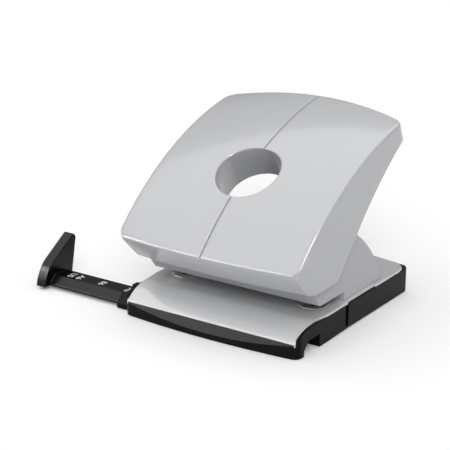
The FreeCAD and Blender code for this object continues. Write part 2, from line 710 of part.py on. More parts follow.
def make_bracket(side, sign):
    body = new_body(f"punch_bracket_{side}")
    sheet_metal = D.bracket_sheet
    for start in (bracket_outer - sheet_metal, bracket_inner):
        offset = start if sign > 0 else -start - sheet_metal
        nose = D.cheek_nose
        axle_y, axle_z = D.pivot_front, D.pivot_height
        foot = as_size(235)
        cheek = sketch_on(body, "YZ", offset)
        draw(cheek, (D.bracket_front, gap_top), (D.bracket_step, gap_top),
             (D.bracket_step, D.plate_top), (D.bracket_rear, D.plate_top),
             (D.bracket_rear, D.cheek_top - 9.5), (D.bracket_rear - 10, D.cheek_top),
             (axle_y + 11.5, D.cheek_top), (axle_y + nose, axle_z),
             arc((axle_y, axle_z + nose), nose), arc((axle_y - nose, axle_z), nose),
             arc((axle_y + nose * cosine(foot), axle_z + nose * sine(foot)), nose),
             (D.bracket_front - 5.2, D.cheek_top + 0.9))
        pad(body, cheek, sheet_metal)
    left = bracket_inner if sign > 0 else -bracket_outer
    floors = sketch_on(body, "YZ", left)
    draw(floors, (D.bracket_front, gap_top), (D.bracket_step, gap_top), (D.bracket_step, D.plate_top),
         (D.bracket_rear, D.plate_top), (D.bracket_rear, D.plate_top + sheet_metal),
         (D.bracket_step + sheet_metal, D.plate_top + sheet_metal),
         (D.bracket_step + sheet_metal, shelf_top), (D.bracket_front, shelf_top))
    pad(body, floors, bracket_width)
    holes = sketch_on(body, "XY", D.plate_top - 1)
    draw_circle(holes, (sign * hole_x, 0), D.bush_radius + D.fit)
    for y in (D.rivet_front, D.rivet_rear):
        draw_circle(holes, (sign * rivet_x(), y), D.rivet_radius + D.fit)
    pocket(body, holes, D.paper_gap + 4)
    axle = sketch_on(body, "YZ", left - 1)
    draw_circle(axle, (D.pivot_front, D.pivot_height), D.axle_radius + D.fit)
    pocket(body, axle, bracket_width + 2)
    node(body, f"punch_bracket_{side}")


def make_bracket_parts():
    rivets = []
    for side, sign in SIDES:
        make_bracket(side, sign)
        bush = ring(f"guide_bush_{side}", pin_radius + D.fit, D.bush_radius, gap_top,
                    gap_top + D.bush_height)
        node(place(bush, sign * hole_x), f"guide_bush_{side}")
        top = D.plate_top + D.bracket_sheet
        head, rise, shank = D.rivet_head_radius, D.rivet_head_height, D.rivet_radius
        for name, y in (("front", D.rivet_front), ("rear", D.rivet_rear)):
            rivet = turned(f"rivet_{side}_{name}", (0, plate_bottom - rise), (head * 0.6, plate_bottom - rise),
                           (head, plate_bottom), (shank, plate_bottom), (shank, top), (head, top),
                           (head * 0.6, top + rise), (0, top + rise))
            rivets.append(place(rivet, sign * rivet_x(), y, 0))
    group("bracket_rivets", rivets)


def make_base_screws():
    screws = []
    under_head = floor_top + D.screw_head_height
    tip = D.plate_top + D.boss_height - 1.5
    head, shank = D.screw_head_radius, D.screw_radius
    for side, sign in SIDES:
        for name, y in (("front", D.screw_front), ("rear", D.screw_rear)):
            screw = turned(f"screw_{side}_{name}", (0, floor_top + 0.6), (0.8, floor_top + 0.6),
                           (0.8, floor_top), (head - 0.5, floor_top), (head, floor_top + 0.5),
                           (head, under_head), (shank, under_head), (shank, tip - 1), (0.4, tip), (0, tip))
            screws.append(place(screw, sign * D.screw_across, y, 0))
    group("base_screws", screws)


# ---------------------------------------------------------------- pins, clips and springs

def make_pins():
    for side, sign in SIDES:
        pin = turned(f"punch_pin_{side}", (0, pin_bottom), (pin_radius, pin_bottom),
                     (pin_radius, clip_bottom), (neck_radius, clip_bottom), (neck_radius, clip_top),
                     (pin_radius, clip_top), (pin_radius, pin_top - 0.4), (pin_radius - 0.4, pin_top),
                     (0, pin_top))
        vee = sketch_on(pin, "YZ", -pin_radius - 1)
        draw(vee, (-pin_radius, pin_bottom - 0.2), (pin_radius, pin_bottom - 0.2), (0, pin_bottom + D.pin_vee))
        pocket(pin, vee, D.pin_diameter + 2)
        node(place(pin, sign * hole_x), f"punch_pin_{side}")
        clip = ring(f"pin_clip_{side}", neck_radius + D.fit, D.clip_radius, clip_bottom + D.fit,
                    clip_top - D.fit)
        node(place(clip, sign * hole_x), f"pin_clip_{side}")
        make_spring(side, sign)


def make_spring(side, sign):
    """A compression spring between the bracket's shelf and the pin's clip."""
    body = new_body(f"return_spring_{side}")
    wire = D.spring_wire / 2
    bottom = shelf_top + D.fit
    height = clip_bottom - shelf_top - D.spring_wire - 2 * D.fit
    section = draw_circle(sketch_on(body, "XZ"), (D.spring_radius, bottom + wire), wire)
    coil = body.newObject("PartDesign::AdditiveHelix", f"coil_{side}")
    coil.Profile = section
    coil.ReferenceAxis = (section, ["V_Axis"])
    coil.Mode = "height-turns-angle"
    bind(coil, "Height", height)
    bind(coil, "Turns", D.spring_turns)
    node(place(body, sign * hole_x), f"return_spring_{side}")


# ---------------------------------------------------------------- axle, lever and press rod

def make_axle():
    half = bracket_outer
    groove_out = arm_inner - D.seam + D.fit
    groove_in = groove_out - D.clip_thickness - 2 * D.fit
    neck = D.axle_radius - D.neck_depth
    full = D.axle_radius
    axle = turned("fulcrum_axle", (0, -half), (full - 0.3, -half), (full, -half + 0.3), (full, -groove_out),
                  (neck, -groove_out), (neck, -groove_in), (full, -groove_in), (full, groove_in),
                  (neck, groove_in), (neck, groove_out), (full, groove_out), (full, half - 0.3),
                  (full - 0.3, half), (0, half))
    node(place(axle, 0, D.pivot_front, D.pivot_height, Y, 90), "fulcrum_axle")
    clips = []
    for side, sign in SIDES:
        clip = ring(f"axle_clip_{side}", neck + D.fit, D.axle_clip_radius, -D.clip_thickness / 2,
                    D.clip_thickness / 2)
        middle = (groove_in + groove_out) / 2
        clips.append(place(clip, sign * middle, D.pivot_front, D.pivot_height, Y, 90))
    group("axle_clips", clips)


def web_point(along, above):
    """A point of the lever's web, by its place along the slope and above the top face."""
    return (D.web_front + along * cosine(D.web_angle) - above * sine(D.web_angle),
            D.web_front_height + along * sine(D.web_angle) + above * cosine(D.web_angle))


def make_lever():
    body = new_body("lever_sheet")
    sheet_metal = D.bracket_sheet
    flange = D.lever_flange
    nose, lug = D.arm_nose, D.arm_lug
    for sign in (-1, 1):
        start = arm_inner if sign > 0 else -arm_inner - sheet_metal
        arm = sketch_on(body, "YZ", start)
        lead = as_size(300)
        draw(arm, (D.pivot_front - nose, D.pivot_height),
             arc((D.pivot_front + nose * cosine(lead), D.pivot_height + nose * sine(lead)), nose),
             (press_y + lug * cosine(lead), press_z + lug * sine(lead)),
             arc((press_y + lug, press_z), lug),
             web_point(D.flange_start, -flange), web_point(D.web_length, -flange),
             web_point(D.web_length, as_size(0)), web_point(as_size(0), as_size(0)))
        pad(body, arm, sheet_metal)
    web = sketch_on(body, "YZ", -arm_inner - sheet_metal)
    draw(web, web_point(as_size(0), as_size(0)), web_point(as_size(0), -sheet_metal),
         web_point(D.web_length, -sheet_metal), web_point(D.web_length, as_size(0)))
    pad(body, web, 2 * (arm_inner + sheet_metal))
    holes = sketch_on(body, "YZ", -arm_inner - sheet_metal - 1)
    draw_circle(holes, (D.pivot_front, D.pivot_height), D.axle_radius + D.fit)
    draw_circle(holes, (press_y, press_z), D.press_radius + D.fit)
    pocket(body, holes, 2 * (arm_inner + sheet_metal + 1))
    # clearance for the thumb tube where it passes through the web
    drop = D.thumb_hole_height - D.web_front_height
    slope = sine(D.web_angle) / cosine(D.web_angle)
    lean = sine(D.thumb_hole_tilt) / cosine(D.thumb_hole_tilt)
    depth = (drop - slope * (D.thumb_hole_front - D.web_front)) / (1 + slope * lean)
    window = sketch_on(body, "XY", D.pivot_height + 8)
    draw_circle(window, (0, D.thumb_hole_front + lean * depth), D.web_hole_radius)
    pocket(body, window, 60)
    cut = drill("lever_frame", body, *lever_screw_holes("lever_hole", D.screw_radius + D.fit, -4, 6))
    return node(cut, "lever_frame")


def lever_screw_holes(name, radius, bottom, *lengths):
    """Cylinders on the four screw axes, which stand square to the lever's web."""
    holes = []
    ends = (("front", D.lever_boss_front, lengths[0]), ("rear", D.lever_boss_rear, lengths[-1]))
    for side, sign in SIDES:
        for end, along, length in ends:
            y, z = web_point(along, as_size(bottom))
            hole = cylinder(f"{name}_{side}_{end}", radius, length)
            holes.append(place(hole, sign * D.lever_boss_across, y, z, X, D.web_angle))
    return holes


def make_press_rod():
    half = arm_inner + D.bracket_sheet + 0.1
    radius = D.press_radius
    rod = turned("press_rod", (0, -half), (radius - 0.3, -half), (radius, -half + 0.3),
                 (radius, half - 0.3), (radius - 0.3, half), (0, half))
    node(place(rod, 0, press_y, press_z, Y, 90), "press_rod")


def make_handle_screws():
    screws = []
    head, shank = D.screw_head_radius, D.screw_radius
    tip = 5.5
    seat = -D.bracket_sheet
    for side, sign in SIDES:
        for end, along in (("front", D.lever_boss_front), ("rear", D.lever_boss_rear)):
            screw = turned(f"handle_screw_{side}_{end}", (0, seat - 1), (0.8, seat - 1), (0.8, seat - 1.6),
                           (head - 0.5, seat - 1.6), (head, seat - 1.1), (head, seat), (shank, seat),
                           (shank, tip - 1), (0.4, tip), (0, tip))
            y, z = web_point(along, as_size(0))
            screws.append(place(screw, sign * D.lever_boss_across, y, z, X, D.web_angle))
    group("handle_screws", screws)


# ---------------------------------------------------------------- handle cover

def handle_section(body, x, lip, nose, tail, radius, wall):
    """Closed side section of the handle: lip, top, rear wall, lower edge; wall is an inset."""
    sketch = sketch_on(body, "YZ", x)
    lip_y, lip_z = lip
    nose_y, nose_z = nose
    tail_y, tail_z = tail
    shift = wall * 1.414
    if wall.value == 0:
        edge = D.edge_radius
        draw(sketch, (D.skirt_rear, lip_z), (lip_y, lip_z), (nose_y + 0.7 * edge, nose_z - 0.7 * edge),
             arc((nose_y + 0.7 * edge, nose_z + 0.72 * edge), edge, -1),
             arc((tail_y - 0.87 * edge, tail_z - 0.4 * edge), radius, -1),
             arc((tail_y + 0.14 * edge, tail_z - edge), edge, -1),
             (tail_y + D.tail_slope, tail_z - D.tail_depth), arc((D.skirt_rear, lip_z), D.skirt_radius, 1))
        return sketch
    under = lip_z - 12
    draw(sketch, (tail_y + D.tail_slope - wall, under), (lip_y + shift + 12, under),
         (nose_y + shift, nose_z), arc((tail_y - wall, tail_z - wall * 0.85), radius - wall, -1),
         (tail_y + D.tail_slope - wall, tail_z - D.tail_depth - 2))
    return sketch


def handle_sections(body, half, wall):
    wall = as_size(wall)
    side = ((D.lip_side, D.lip_bottom), (D.nose_side, D.nose_side_height),
            (D.tail_side, D.tail_side_height), D.crown_side_radius)
    middle = ((D.lip_middle, D.lip_bottom), (D.nose_middle, D.nose_middle_height),
              (D.tail_middle, D.tail_middle_height), D.crown_middle_radius)
    return [handle_section(body, -half, *side, wall), handle_section(body, as_size(0), *middle, wall),
            handle_section(body, half, *side, wall)]


def make_handle():
    shell = new_body("handle_shell")
    loft(shell, "AdditiveLoft", handle_sections(shell, handle_half, 0))
    trim_rear_corners(shell)
    space = handle_sections(shell, handle_half - D.handle_wall, D.handle_wall)
    loft(shell, "SubtractiveLoft", space)
    tilt = D.thumb_hole_tilt
    start = D.thumb_tube_start
    full = D.thumb_tube_depth
    lean_y, lean_z = sine(tilt), cosine(tilt)
    tube = cylinder("thumb_tube", D.thumb_hole_radius + D.thumb_tube_wall, full - start)
    place(tube, 0, D.thumb_hole_front + lean_y * full, D.thumb_hole_height - lean_z * full, X, tilt)
    bore = cylinder("thumb_bore", D.thumb_hole_radius, full + 10)
    place(bore, 0, D.thumb_hole_front + lean_y * (full + 5), D.thumb_hole_height - lean_z * (full + 5),
          X, tilt)
    bosses = lever_screw_holes("lever_boss", D.lever_boss_radius, 0, D.boss_length_front,
                               D.boss_length_rear)
    solid = doc.addObject("Part::MultiFuse", "handle_with_bosses")
    solid.Shapes = [shell, tube] + bosses
    cut = drill("handle_cover", solid, bore, *lever_screw_holes("screw_bore", D.screw_radius + D.fit, -1, 7.5))
    return node(cut, "handle_cover")


def trim_rear_corners(body):
    """Round the rear corners of the handle in plan."""
    radius, half = D.tail_radius, handle_half
    start = D.tail_side - radius
    end = D.tail_side + D.tail_slope + 0.25 * radius
    far = D.tail_middle + 2 * D.tail_slope
    for sign in (-1, 1):
        corner = sketch_on(body, "XY", D.nose_side_height)
        draw(corner, (sign * half, start), arc((sign * (half - radius), end), radius * 1.1, sign),
             (sign * (half - radius), far), (sign * (half + 1), far), (sign * (half + 1), start))
        pocket(body, corner, D.tail_middle_height)


# ---------------------------------------------------------------- stop rail

def make_stop_rail():
    body = new_body("stop_rail")
    rail = sketch_on(body, "YZ", D.finger_face - D.finger_sheet / 2)
    channel_outline(rail, as_size(0), D.rail_bottom)
    pad(body, rail, D.rail_end - D.finger_face + D.finger_sheet / 2)
    finger = sketch_on(body, "YZ", D.finger_face - D.finger_sheet)
    front, rear, top = D.rail_front, D.rail_rear, D.finger_height
    draw(finger, (front - D.finger_foot, D.rail_bottom), (rear + D.finger_heel, D.rail_bottom),
         (rear + D.finger_lean, top - D.finger_tip),
         arc((rear + D.finger_lean - D.finger_tip_depth, top), D.finger_tip_radius),
         (front + D.finger_slope_end, top - D.finger_slope),
         arc((front - D.finger_foot, D.rail_bottom + D.finger_sole), D.finger_bend))
    pad(body, finger, D.finger_sheet)
    return node(body, "stop_rail")


make_tray_flap()
make_base_tray()
make_feet()
make_base_plate()
make_dies()
make_housing()
make_bracket_parts()
make_base_screws()
make_pins()
make_axle()
make_lever()
make_press_rod()
make_handle()
make_handle_screws()
make_stop_rail()
doc.recompute()

# ---------------------------------------------------------------- checks and files

faults = [thing.Name for thing in doc.Objects if {"Invalid", "Error"} & set(thing.State)]
for thing in NODES:
    if thing.Shape.isNull() or not thing.Shape.isValid() or not thing.Shape.Solids:
        faults.append(thing.Label)
if faults:
    raise RuntimeError("not built: " + ", ".join(faults))
os.makedirs("parts", exist_ok=True)
for thing in NODES:
    thing.Shape.exportStep(os.path.join("parts", thing.Label + ".step"))
    box = thing.Shape.BoundBox
    print(f"{thing.Label:22s} solids {len(thing.Shape.Solids)} volume {thing.Shape.Volume:9.1f}  "
          f"x {box.XMin:7.2f} {box.XMax:7.2f}  y {box.YMin:7.2f} {box.YMax:7.2f}  "
          f"z {box.ZMin:7.2f} {box.ZMax:7.2f}")
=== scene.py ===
import math

import bmesh
import bpy
from mathutils import Matrix, Vector


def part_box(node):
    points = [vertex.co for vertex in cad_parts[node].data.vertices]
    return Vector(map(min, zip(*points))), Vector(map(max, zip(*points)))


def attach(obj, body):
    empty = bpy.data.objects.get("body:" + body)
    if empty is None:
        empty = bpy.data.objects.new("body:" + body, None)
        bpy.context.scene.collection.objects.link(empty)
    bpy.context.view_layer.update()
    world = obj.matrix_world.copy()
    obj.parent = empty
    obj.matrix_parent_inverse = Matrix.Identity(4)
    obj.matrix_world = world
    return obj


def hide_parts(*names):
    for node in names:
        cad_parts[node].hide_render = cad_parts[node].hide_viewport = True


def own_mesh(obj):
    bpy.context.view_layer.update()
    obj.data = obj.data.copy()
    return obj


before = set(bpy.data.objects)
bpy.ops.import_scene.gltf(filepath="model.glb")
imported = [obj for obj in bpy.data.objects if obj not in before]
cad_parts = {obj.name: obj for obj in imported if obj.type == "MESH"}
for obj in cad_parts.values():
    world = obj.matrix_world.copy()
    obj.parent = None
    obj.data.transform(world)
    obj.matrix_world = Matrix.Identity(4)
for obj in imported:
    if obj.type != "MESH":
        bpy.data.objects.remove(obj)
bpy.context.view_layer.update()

bl_info = {
    "name": "Desk hole punch",
    "version": (1, 0, 0),
    "blender": (4, 5, 0),
    "location": "View3D > Sidebar > Hole punch",
    "description": "Builds a two-hole desk punch with its handle, base, paper stop and studio",
    "category": "Object",
}

MM = 0.001


# ---------------------------------------------------------------- sizes and colours

def length(name, default, description):
    """A length in metres; the default is given in millimetres."""
    return bpy.props.FloatProperty(name=name, default=default * MM, description=description,
                                   unit="LENGTH", subtype="DISTANCE", precision=5)


def angle(name, default, description):
    """An angle in radians; the default is given in degrees."""
    return bpy.props.FloatProperty(name=name, default=math.radians(default), description=description,
                                   unit="ROTATION", subtype="ANGLE")


def colour(name, default, description):
    """A linear colour."""
    return bpy.props.FloatVectorProperty(name=name, default=default, description=description,
                                         subtype="COLOR", size=3, min=0.0, max=1.0)


class PUNCH_PG_handle(bpy.types.PropertyGroup):
    half_width: length("Half width", 54.9, "Half the width of the handle")
    wall: length("Wall", 2.4, "Wall thickness of the handle")
    side_edge: length("Side edges", 1.5, "Rounding of the upper side edges")
    front_edge: length("Front edge", 0.75, "Rounding of the front edge")
    rear_edge: length("Rear edge", 1.0, "Rounding of the rear edge")
    front_corner: length("Front corners", 3.0, "Rounding of the front corners in plan")
    rear_corner: length("Rear corners", 4.5, "Rounding of the rear corners in plan")
    groove: length("Groove depth", 1.6, "Depth of the line along the middle of the handle")
    hole_radius: length("Thumb hole", 17.3, "Radius of the thumb hole")
    hole_rim: length("Thumb hole rim", 0.9, "Rounding of the thumb hole's rim")
    hole_depth: length("Thumb hole depth", 18.8, "Depth of the thumb hole's tube")
    tube_wall: length("Thumb tube wall", 2.0, "Wall thickness of the thumb hole's tube")
    hole_tilt: angle("Thumb hole tilt", 31.0, "Tilt of the thumb hole towards the front")


class PUNCH_PG_base(bpy.types.PropertyGroup):
    plastic_edge: length("Plastic edge", 0.5, "Rounding of the edges of the moulded parts")
    plate_edge: length("Plate edge", 1.4, "Rounding of the edges of the base plate")
    metal_edge: length("Metal edge", 0.25, "Rounding of the edges of the sheet metal parts")


class PUNCH_PG_finish(bpy.types.PropertyGroup):
    handle: colour("Handle", (0.452, 0.459, 0.474), "Colour of the handle")
    housing: colour("Housing", (0.425, 0.432, 0.452), "Colour of the housing")
    plate: colour("Base plate", (0.57, 0.58, 0.59), "Colour of the base plate")
    black: colour("Black plastic", (0.003, 0.003, 0.0032), "Colour of the chip tray")
    rail: colour("Paper stop", (0.0015, 0.0015, 0.0016), "Colour of the paper stop")
    print_white: colour("Marks", (0.80, 0.80, 0.80), "Colour of the paper size marks")


class PUNCH_PG_studio(bpy.types.PropertyGroup):
    lens: bpy.props.FloatProperty(name="Lens", default=112.0, unit="CAMERA",
                                  description="Focal length of the camera")
    azimuth: angle("Azimuth", 34.43, "Camera's turn round the punch")
    elevation: angle("Elevation", 18.67, "Camera's angle above the desk")
    room: bpy.props.FloatProperty(name="Room light", default=0.51,
                                  description="Brightness of the room overhead")
    key: bpy.props.FloatProperty(name="Key light", default=1.2,
                                 description="Irradiance of the soft light behind the camera")
    top: bpy.props.FloatProperty(name="Top light", default=1.26,
                                 description="Irradiance of the very soft light from above")
    panel: bpy.props.FloatProperty(name="Gloss panel", default=13.4, unit="POWER",
                                   description="Power of the panel that glossy surfaces mirror")
    strip: bpy.props.FloatProperty(name="Edge strip", default=18.0, unit="POWER",
                                   description="Power of the strip that lights up the front edges")
    low: bpy.props.FloatProperty(name="Low strip", default=12.0, unit="POWER",
                                 description="Power of the strip that lights up the base's front edges")
    corner: bpy.props.FloatProperty(name="Corner strip", default=7.0, unit="POWER",
                                    description="Power of the strip that lights up the right edge")


GROUPS = (("punch_handle", PUNCH_PG_handle), ("punch_base", PUNCH_PG_base),
          ("punch_finish", PUNCH_PG_finish), ("punch_studio", PUNCH_PG_studio))


# ---------------------------------------------------------------- materials

FINISH_OUTPUTS = (("Color", "NodeSocketColor"), ("Roughness", "NodeSocketFloat"),
                  ("Height", "NodeSocketFloat"))
NOISE_MIDDLE = 0.5                                     # a noise texture swings evenly about this value
LINE_STRETCH = (0.05, 1.0, 1.0)                        # draws the lines of brushed steel out along x


def new_group(name, inputs):
    """A node group for a finish, with named sockets; returns the group and its two end nodes."""
    group = bpy.data.node_groups.new(name, "ShaderNodeTree")
    for label, kind, default in inputs:
        group.interface.new_socket(label, in_out="INPUT", socket_type=kind).default_value = default
    for label, kind in FINISH_OUTPUTS:
        group.interface.new_socket(label, in_out="OUTPUT", socket_type=kind)
    return group, group.nodes.new("NodeGroupInput"), group.nodes.new("NodeGroupOutput")


def feed(tree, socket, value):
    """Sets a socket to a plain number, or links it to another node's output."""
    if isinstance(value, (int, float)):
        socket.default_value = value
    else:
        tree.links.new(value, socket)


def math_node(tree, operation, *values):
    """A Math node whose inputs are sockets or plain numbers; returns its output."""
    made = tree.nodes.new("ShaderNodeMath")
    made.operation = operation
    for socket, value in zip(made.inputs, values):
        feed(tree, socket, value)
    return made.outputs[0]


def noise_node(tree, vector, scale, detail=2.0, roughness=0.5):
    """A noise texture; returns its value."""
    made = tree.nodes.new("ShaderNodeTexNoise")
    for label, value in (("Vector", vector), ("Scale", scale), ("Detail", detail), ("Roughness", roughness)):
        feed(tree, made.inputs[label], value)
    return made.outputs["Fac"]


def drift(tree, noise, amount, middle):
    """A value that swings with a noise about its middle."""
    return math_node(tree, "MULTIPLY_ADD", math_node(tree, "SUBTRACT", noise, NOISE_MIDDLE), amount, middle)


def end_group(group, start, end, tone, roughness, height):
    """Scales the group's colour by a tone, and puts out colour, roughness and height."""
    scaled = group.nodes.new("ShaderNodeVectorMath")
    scaled.operation = "SCALE"
    group.links.new(start.outputs["Color"], scaled.inputs[0])
    group.links.new(tone, scaled.inputs["Scale"])
    for (label, _), output in zip(FINISH_OUTPUTS, (scaled.outputs[0], roughness, height)):
        group.links.new(output, end.inputs[label])
    return group


def moulded_finish_group():
    """Colour drift, roughness drift and fine grain of a moulded or painted surface."""
    group, start, end = new_group(
        "moulded finish",
        (("Color", "NodeSocketColor", (0.5, 0.5, 0.5, 1.0)), ("Drift", "NodeSocketFloat", 0.03),
         ("Roughness", "NodeSocketFloat", 0.3), ("Roughness Drift", "NodeSocketFloat", 0.05),
         ("Grain Scale", "NodeSocketFloat", 2500.0)))
    place = group.nodes.new("ShaderNodeTexCoord").outputs["Object"]
    broad = noise_node(group, place, scale=18.0, detail=3.0)
    grain = noise_node(group, place, start.outputs["Grain Scale"], detail=2.0, roughness=0.6)
    tone = drift(group, broad, amount=start.outputs["Drift"], middle=1.0)
    rough = drift(group, broad, amount=start.outputs["Roughness Drift"], middle=start.outputs["Roughness"])
    return end_group(group, start, end, tone, rough, grain)


def brushed_group():
    """Fine parallel lines of drawn or ground steel, with a slow drift of tone."""
    group, start, end = new_group(
        "brushed steel", (("Color", "NodeSocketColor", (0.6, 0.6, 0.6, 1.0)),
                          ("Roughness", "NodeSocketFloat", 0.3), ("Lines", "NodeSocketFloat", 900.0)))
    place = group.nodes.new("ShaderNodeTexCoord").outputs["Object"]
    stretch = group.nodes.new("ShaderNodeMapping")
    stretch.inputs["Scale"].default_value = LINE_STRETCH
    group.links.new(place, stretch.inputs["Vector"])
    lines = noise_node(group, stretch.outputs[0], start.outputs["Lines"], detail=3.0)
    blotch = noise_node(group, place, scale=60.0)
    tone = drift(group, blotch, amount=0.25, middle=1.0)
    rough = drift(group, lines, amount=0.2, middle=start.outputs["Roughness"])
    return end_group(group, start, end, tone, rough, lines)


def place_group(tree, name, maker, **values):
    """Places a shared node group, which is built once, and sets its inputs."""
    made = tree.nodes.new("ShaderNodeGroup")
    made.node_tree = bpy.data.node_groups.get(name) or maker()
    for label, value in values.items():
        made.inputs[label.replace("_", " ")].default_value = value
    return made


def new_material(name):
    """A material with its node tree and its main shader."""
    made = bpy.data.materials.new(name)
    made.use_nodes = True
    return made, made.node_tree, made.node_tree.nodes["Principled BSDF"]


def set_values(shader, values):
    """Sets plain numbers and colours on a shader's own sockets."""
    for label, value in values.items():
        shader.inputs[label].default_value = value


def join_finish(tree, finish, shader, strength, depth):
    """Feeds a finish into a shader; its height becomes a bump of the given strength and depth."""
    tree.links.new(finish.outputs["Color"], shader.inputs["Base Color"])
    tree.links.new(finish.outputs["Roughness"], shader.inputs["Roughness"])
    bump = tree.nodes.new("ShaderNodeBump")
    set_values(bump, {"Strength": strength, "Distance": depth})
    tree.links.new(finish.outputs["Height"], bump.inputs["Height"])
    tree.links.new(bump.outputs["Normal"], shader.inputs["Normal"])


def moulded_material(name, base, roughness, grain, grain_depth, tone_drift=0.03, rough_drift=0.06,
                     coat=0.0, coat_roughness=0.1, specular=0.5):
    """A moulded or painted surface with fine grain and a slow drift of tone and gloss."""
    if name in bpy.data.materials:
        return bpy.data.materials[name]
    made, tree, shader = new_material(name)
    finish = place_group(tree, "moulded finish", moulded_finish_group, Color=(*base, 1.0), Drift=tone_drift,
                         Roughness=roughness, Roughness_Drift=rough_drift, Grain_Scale=grain)
    set_values(shader, {"Specular IOR Level": specular, "Coat Weight": coat,
                        "Coat Roughness": coat_roughness})
    join_finish(tree, finish, shader, strength=0.35, depth=grain_depth)
    return made


def steel_material(name, base, roughness, lines=900.0):
    """Bare or plated steel with the fine lines of drawing or grinding."""
    if name in bpy.data.materials:
        return bpy.data.materials[name]
    made, tree, shader = new_material(name)
    finish = place_group(tree, "brushed steel", brushed_group, Color=(*base, 1.0),
                         Roughness=roughness, Lines=lines)
    set_values(shader, {"Metallic": 1.0})
    join_finish(tree, finish, shader, strength=0.2, depth=0.03 * MM)
    return made


def finishes():
    return bpy.context.scene.punch_finish


def handle_plastic():
    return moulded_material("glossy grey plastic", finishes().handle, roughness=0.22, grain=2600.0,
                            grain_depth=0.02 * MM, tone_drift=0.02, rough_drift=0.04, coat=0.25,
                            coat_roughness=0.06)


def housing_plastic():
    return moulded_material("blue grey plastic", finishes().housing, roughness=0.34, grain=2600.0,
                            grain_depth=0.03 * MM)


def plate_paint():
    return moulded_material("grey lacquer", finishes().plate, roughness=0.24, grain=1400.0,
                            grain_depth=0.02 * MM, coat=0.9, coat_roughness=0.05)


def black_plastic():
    return moulded_material("black plastic", finishes().black, roughness=0.36, grain=3000.0,
                            grain_depth=0.06 * MM, tone_drift=0.2, specular=0.09)


def rail_plastic():
    return moulded_material("glossy black plastic", finishes().rail, roughness=0.26, grain=3000.0,
                            grain_depth=0.03 * MM, tone_drift=0.2, specular=0.22)


def rubber():
    return moulded_material("foot rubber", (0.02, 0.02, 0.021), roughness=0.75, grain=1800.0,
                            grain_depth=0.15 * MM, tone_drift=0.3)


def print_ink():
    return moulded_material("white ink", finishes().print_white, roughness=0.45, grain=3000.0,
                            grain_depth=0.02 * MM)


def zinc_steel():
    return steel_material("zinc plated steel", (0.62, 0.62, 0.61), roughness=0.34)


def ground_steel():
    return steel_material("ground steel", (0.66, 0.66, 0.67), roughness=0.20, lines=2200.0)


def spring_steel():
    return steel_material("spring steel", (0.52, 0.52, 0.53), roughness=0.28, lines=1500.0)


# ---------------------------------------------------------------- mesh helpers

MERGE = 0.001 * MM                                     # vertices of a turned shape closer than this are one
CAD_MERGE = 0.005 * MM                                 # the same for a solid of the frame
RIM_MERGE = 0.0001 * MM                                # the same where two rings are joined
FLAT_ANGLE = math.radians(0.6)                         # faces that differ by less are made one
SHARP_ANGLE = math.radians(28)                         # edges sharper than this are rounded


def new_object(name, data):
    """An object in the scene that holds a mesh, a lamp or the camera."""
    made = bpy.data.objects.new(name, data)
    bpy.context.scene.collection.objects.link(made)
    return made


def mesh_object(name, bm, material):
    """Turns a bmesh into an object with one material."""
    mesh = bpy.data.meshes.new(name)
    bm.to_mesh(mesh)
    bm.free()
    mesh.materials.append(material)
    return new_object(name, mesh)


def piece(name, bm, material, body, replaced):
    """Turns a bmesh into a piece that rides on a body of the frame, in place of the replaced nodes."""
    made = mesh_object(name, bm, material)
    for face in made.data.polygons:
        face.use_smooth = True
    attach(made, body)
    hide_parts(*replaced)
    return made


def coat_node(node, material):
    """Gives a solid of the frame its finish."""
    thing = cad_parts[node]
    if not thing.material_slots:
        thing.data.materials.append(material)
    for slot in thing.material_slots:
        slot.material = material


def merged_copy(node, distance):
    """A bmesh copy of a solid of the frame, whose loose triangles are joined."""
    bm = bmesh.new()
    bm.from_mesh(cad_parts[node].data)
    bmesh.ops.remove_doubles(bm, verts=bm.verts, dist=distance)
    return bm


def eased_copy(node, name, body, material, width, segments=2, reshape=None):
    """A copy of a solid of the frame whose sharp edges are rounded, in place of the solid."""
    bm = merged_copy(node, CAD_MERGE)
    bmesh.ops.dissolve_degenerate(bm, edges=bm.edges, dist=CAD_MERGE)
    bmesh.ops.dissolve_limit(bm, angle_limit=FLAT_ANGLE, verts=bm.verts, edges=bm.edges,
                             use_dissolve_boundaries=False)
    if reshape:
        reshape(bm)
    made = piece(name, bm, material, body, (node,))
    soften = made.modifiers.new("Edges", "BEVEL")
    soften.width = width
    soften.segments = segments
    soften.limit_method = "ANGLE"
    soften.angle_limit = SHARP_ANGLE
    soften.use_clamp_overlap = True
    steady = made.modifiers.new("Shading", "WEIGHTED_NORMAL")
    steady.mode = "FACE_AREA"
    steady.weight = 80
    steady.keep_sharp = True


def only_verts(parts):
    """The vertices among the parts that an operator made."""
    return [part for part in parts if isinstance(part, bmesh.types.BMVert)]


def shift(bm, chosen, move):
    """Moves the vertices whose place a test picks."""
    bmesh.ops.translate(bm, verts=[vert for vert in bm.verts if chosen(vert.co)], vec=move)


def turn_profile(bm, profile, steps, centre=(0, 0, 0), closed=False):
    """Turns a line of places in the x-z plane round a vertical axis; returns the new vertices."""
    old = set(bm.verts)
    verts = [bm.verts.new(place) for place in profile]
    ends = verts[1:] + verts[:1] if closed else verts[1:]
    edges = [bm.edges.new(pair) for pair in zip(verts, ends)]
    bmesh.ops.spin(bm, geom=verts + edges, axis=(0, 0, 1), cent=centre, steps=steps, angle=math.tau,
                   use_merge=True, use_duplicate=False)
    turned = [vert for vert in bm.verts if vert not in old]
    bmesh.ops.remove_doubles(bm, verts=turned, dist=MERGE)
    return [vert for vert in turned if vert.is_valid]


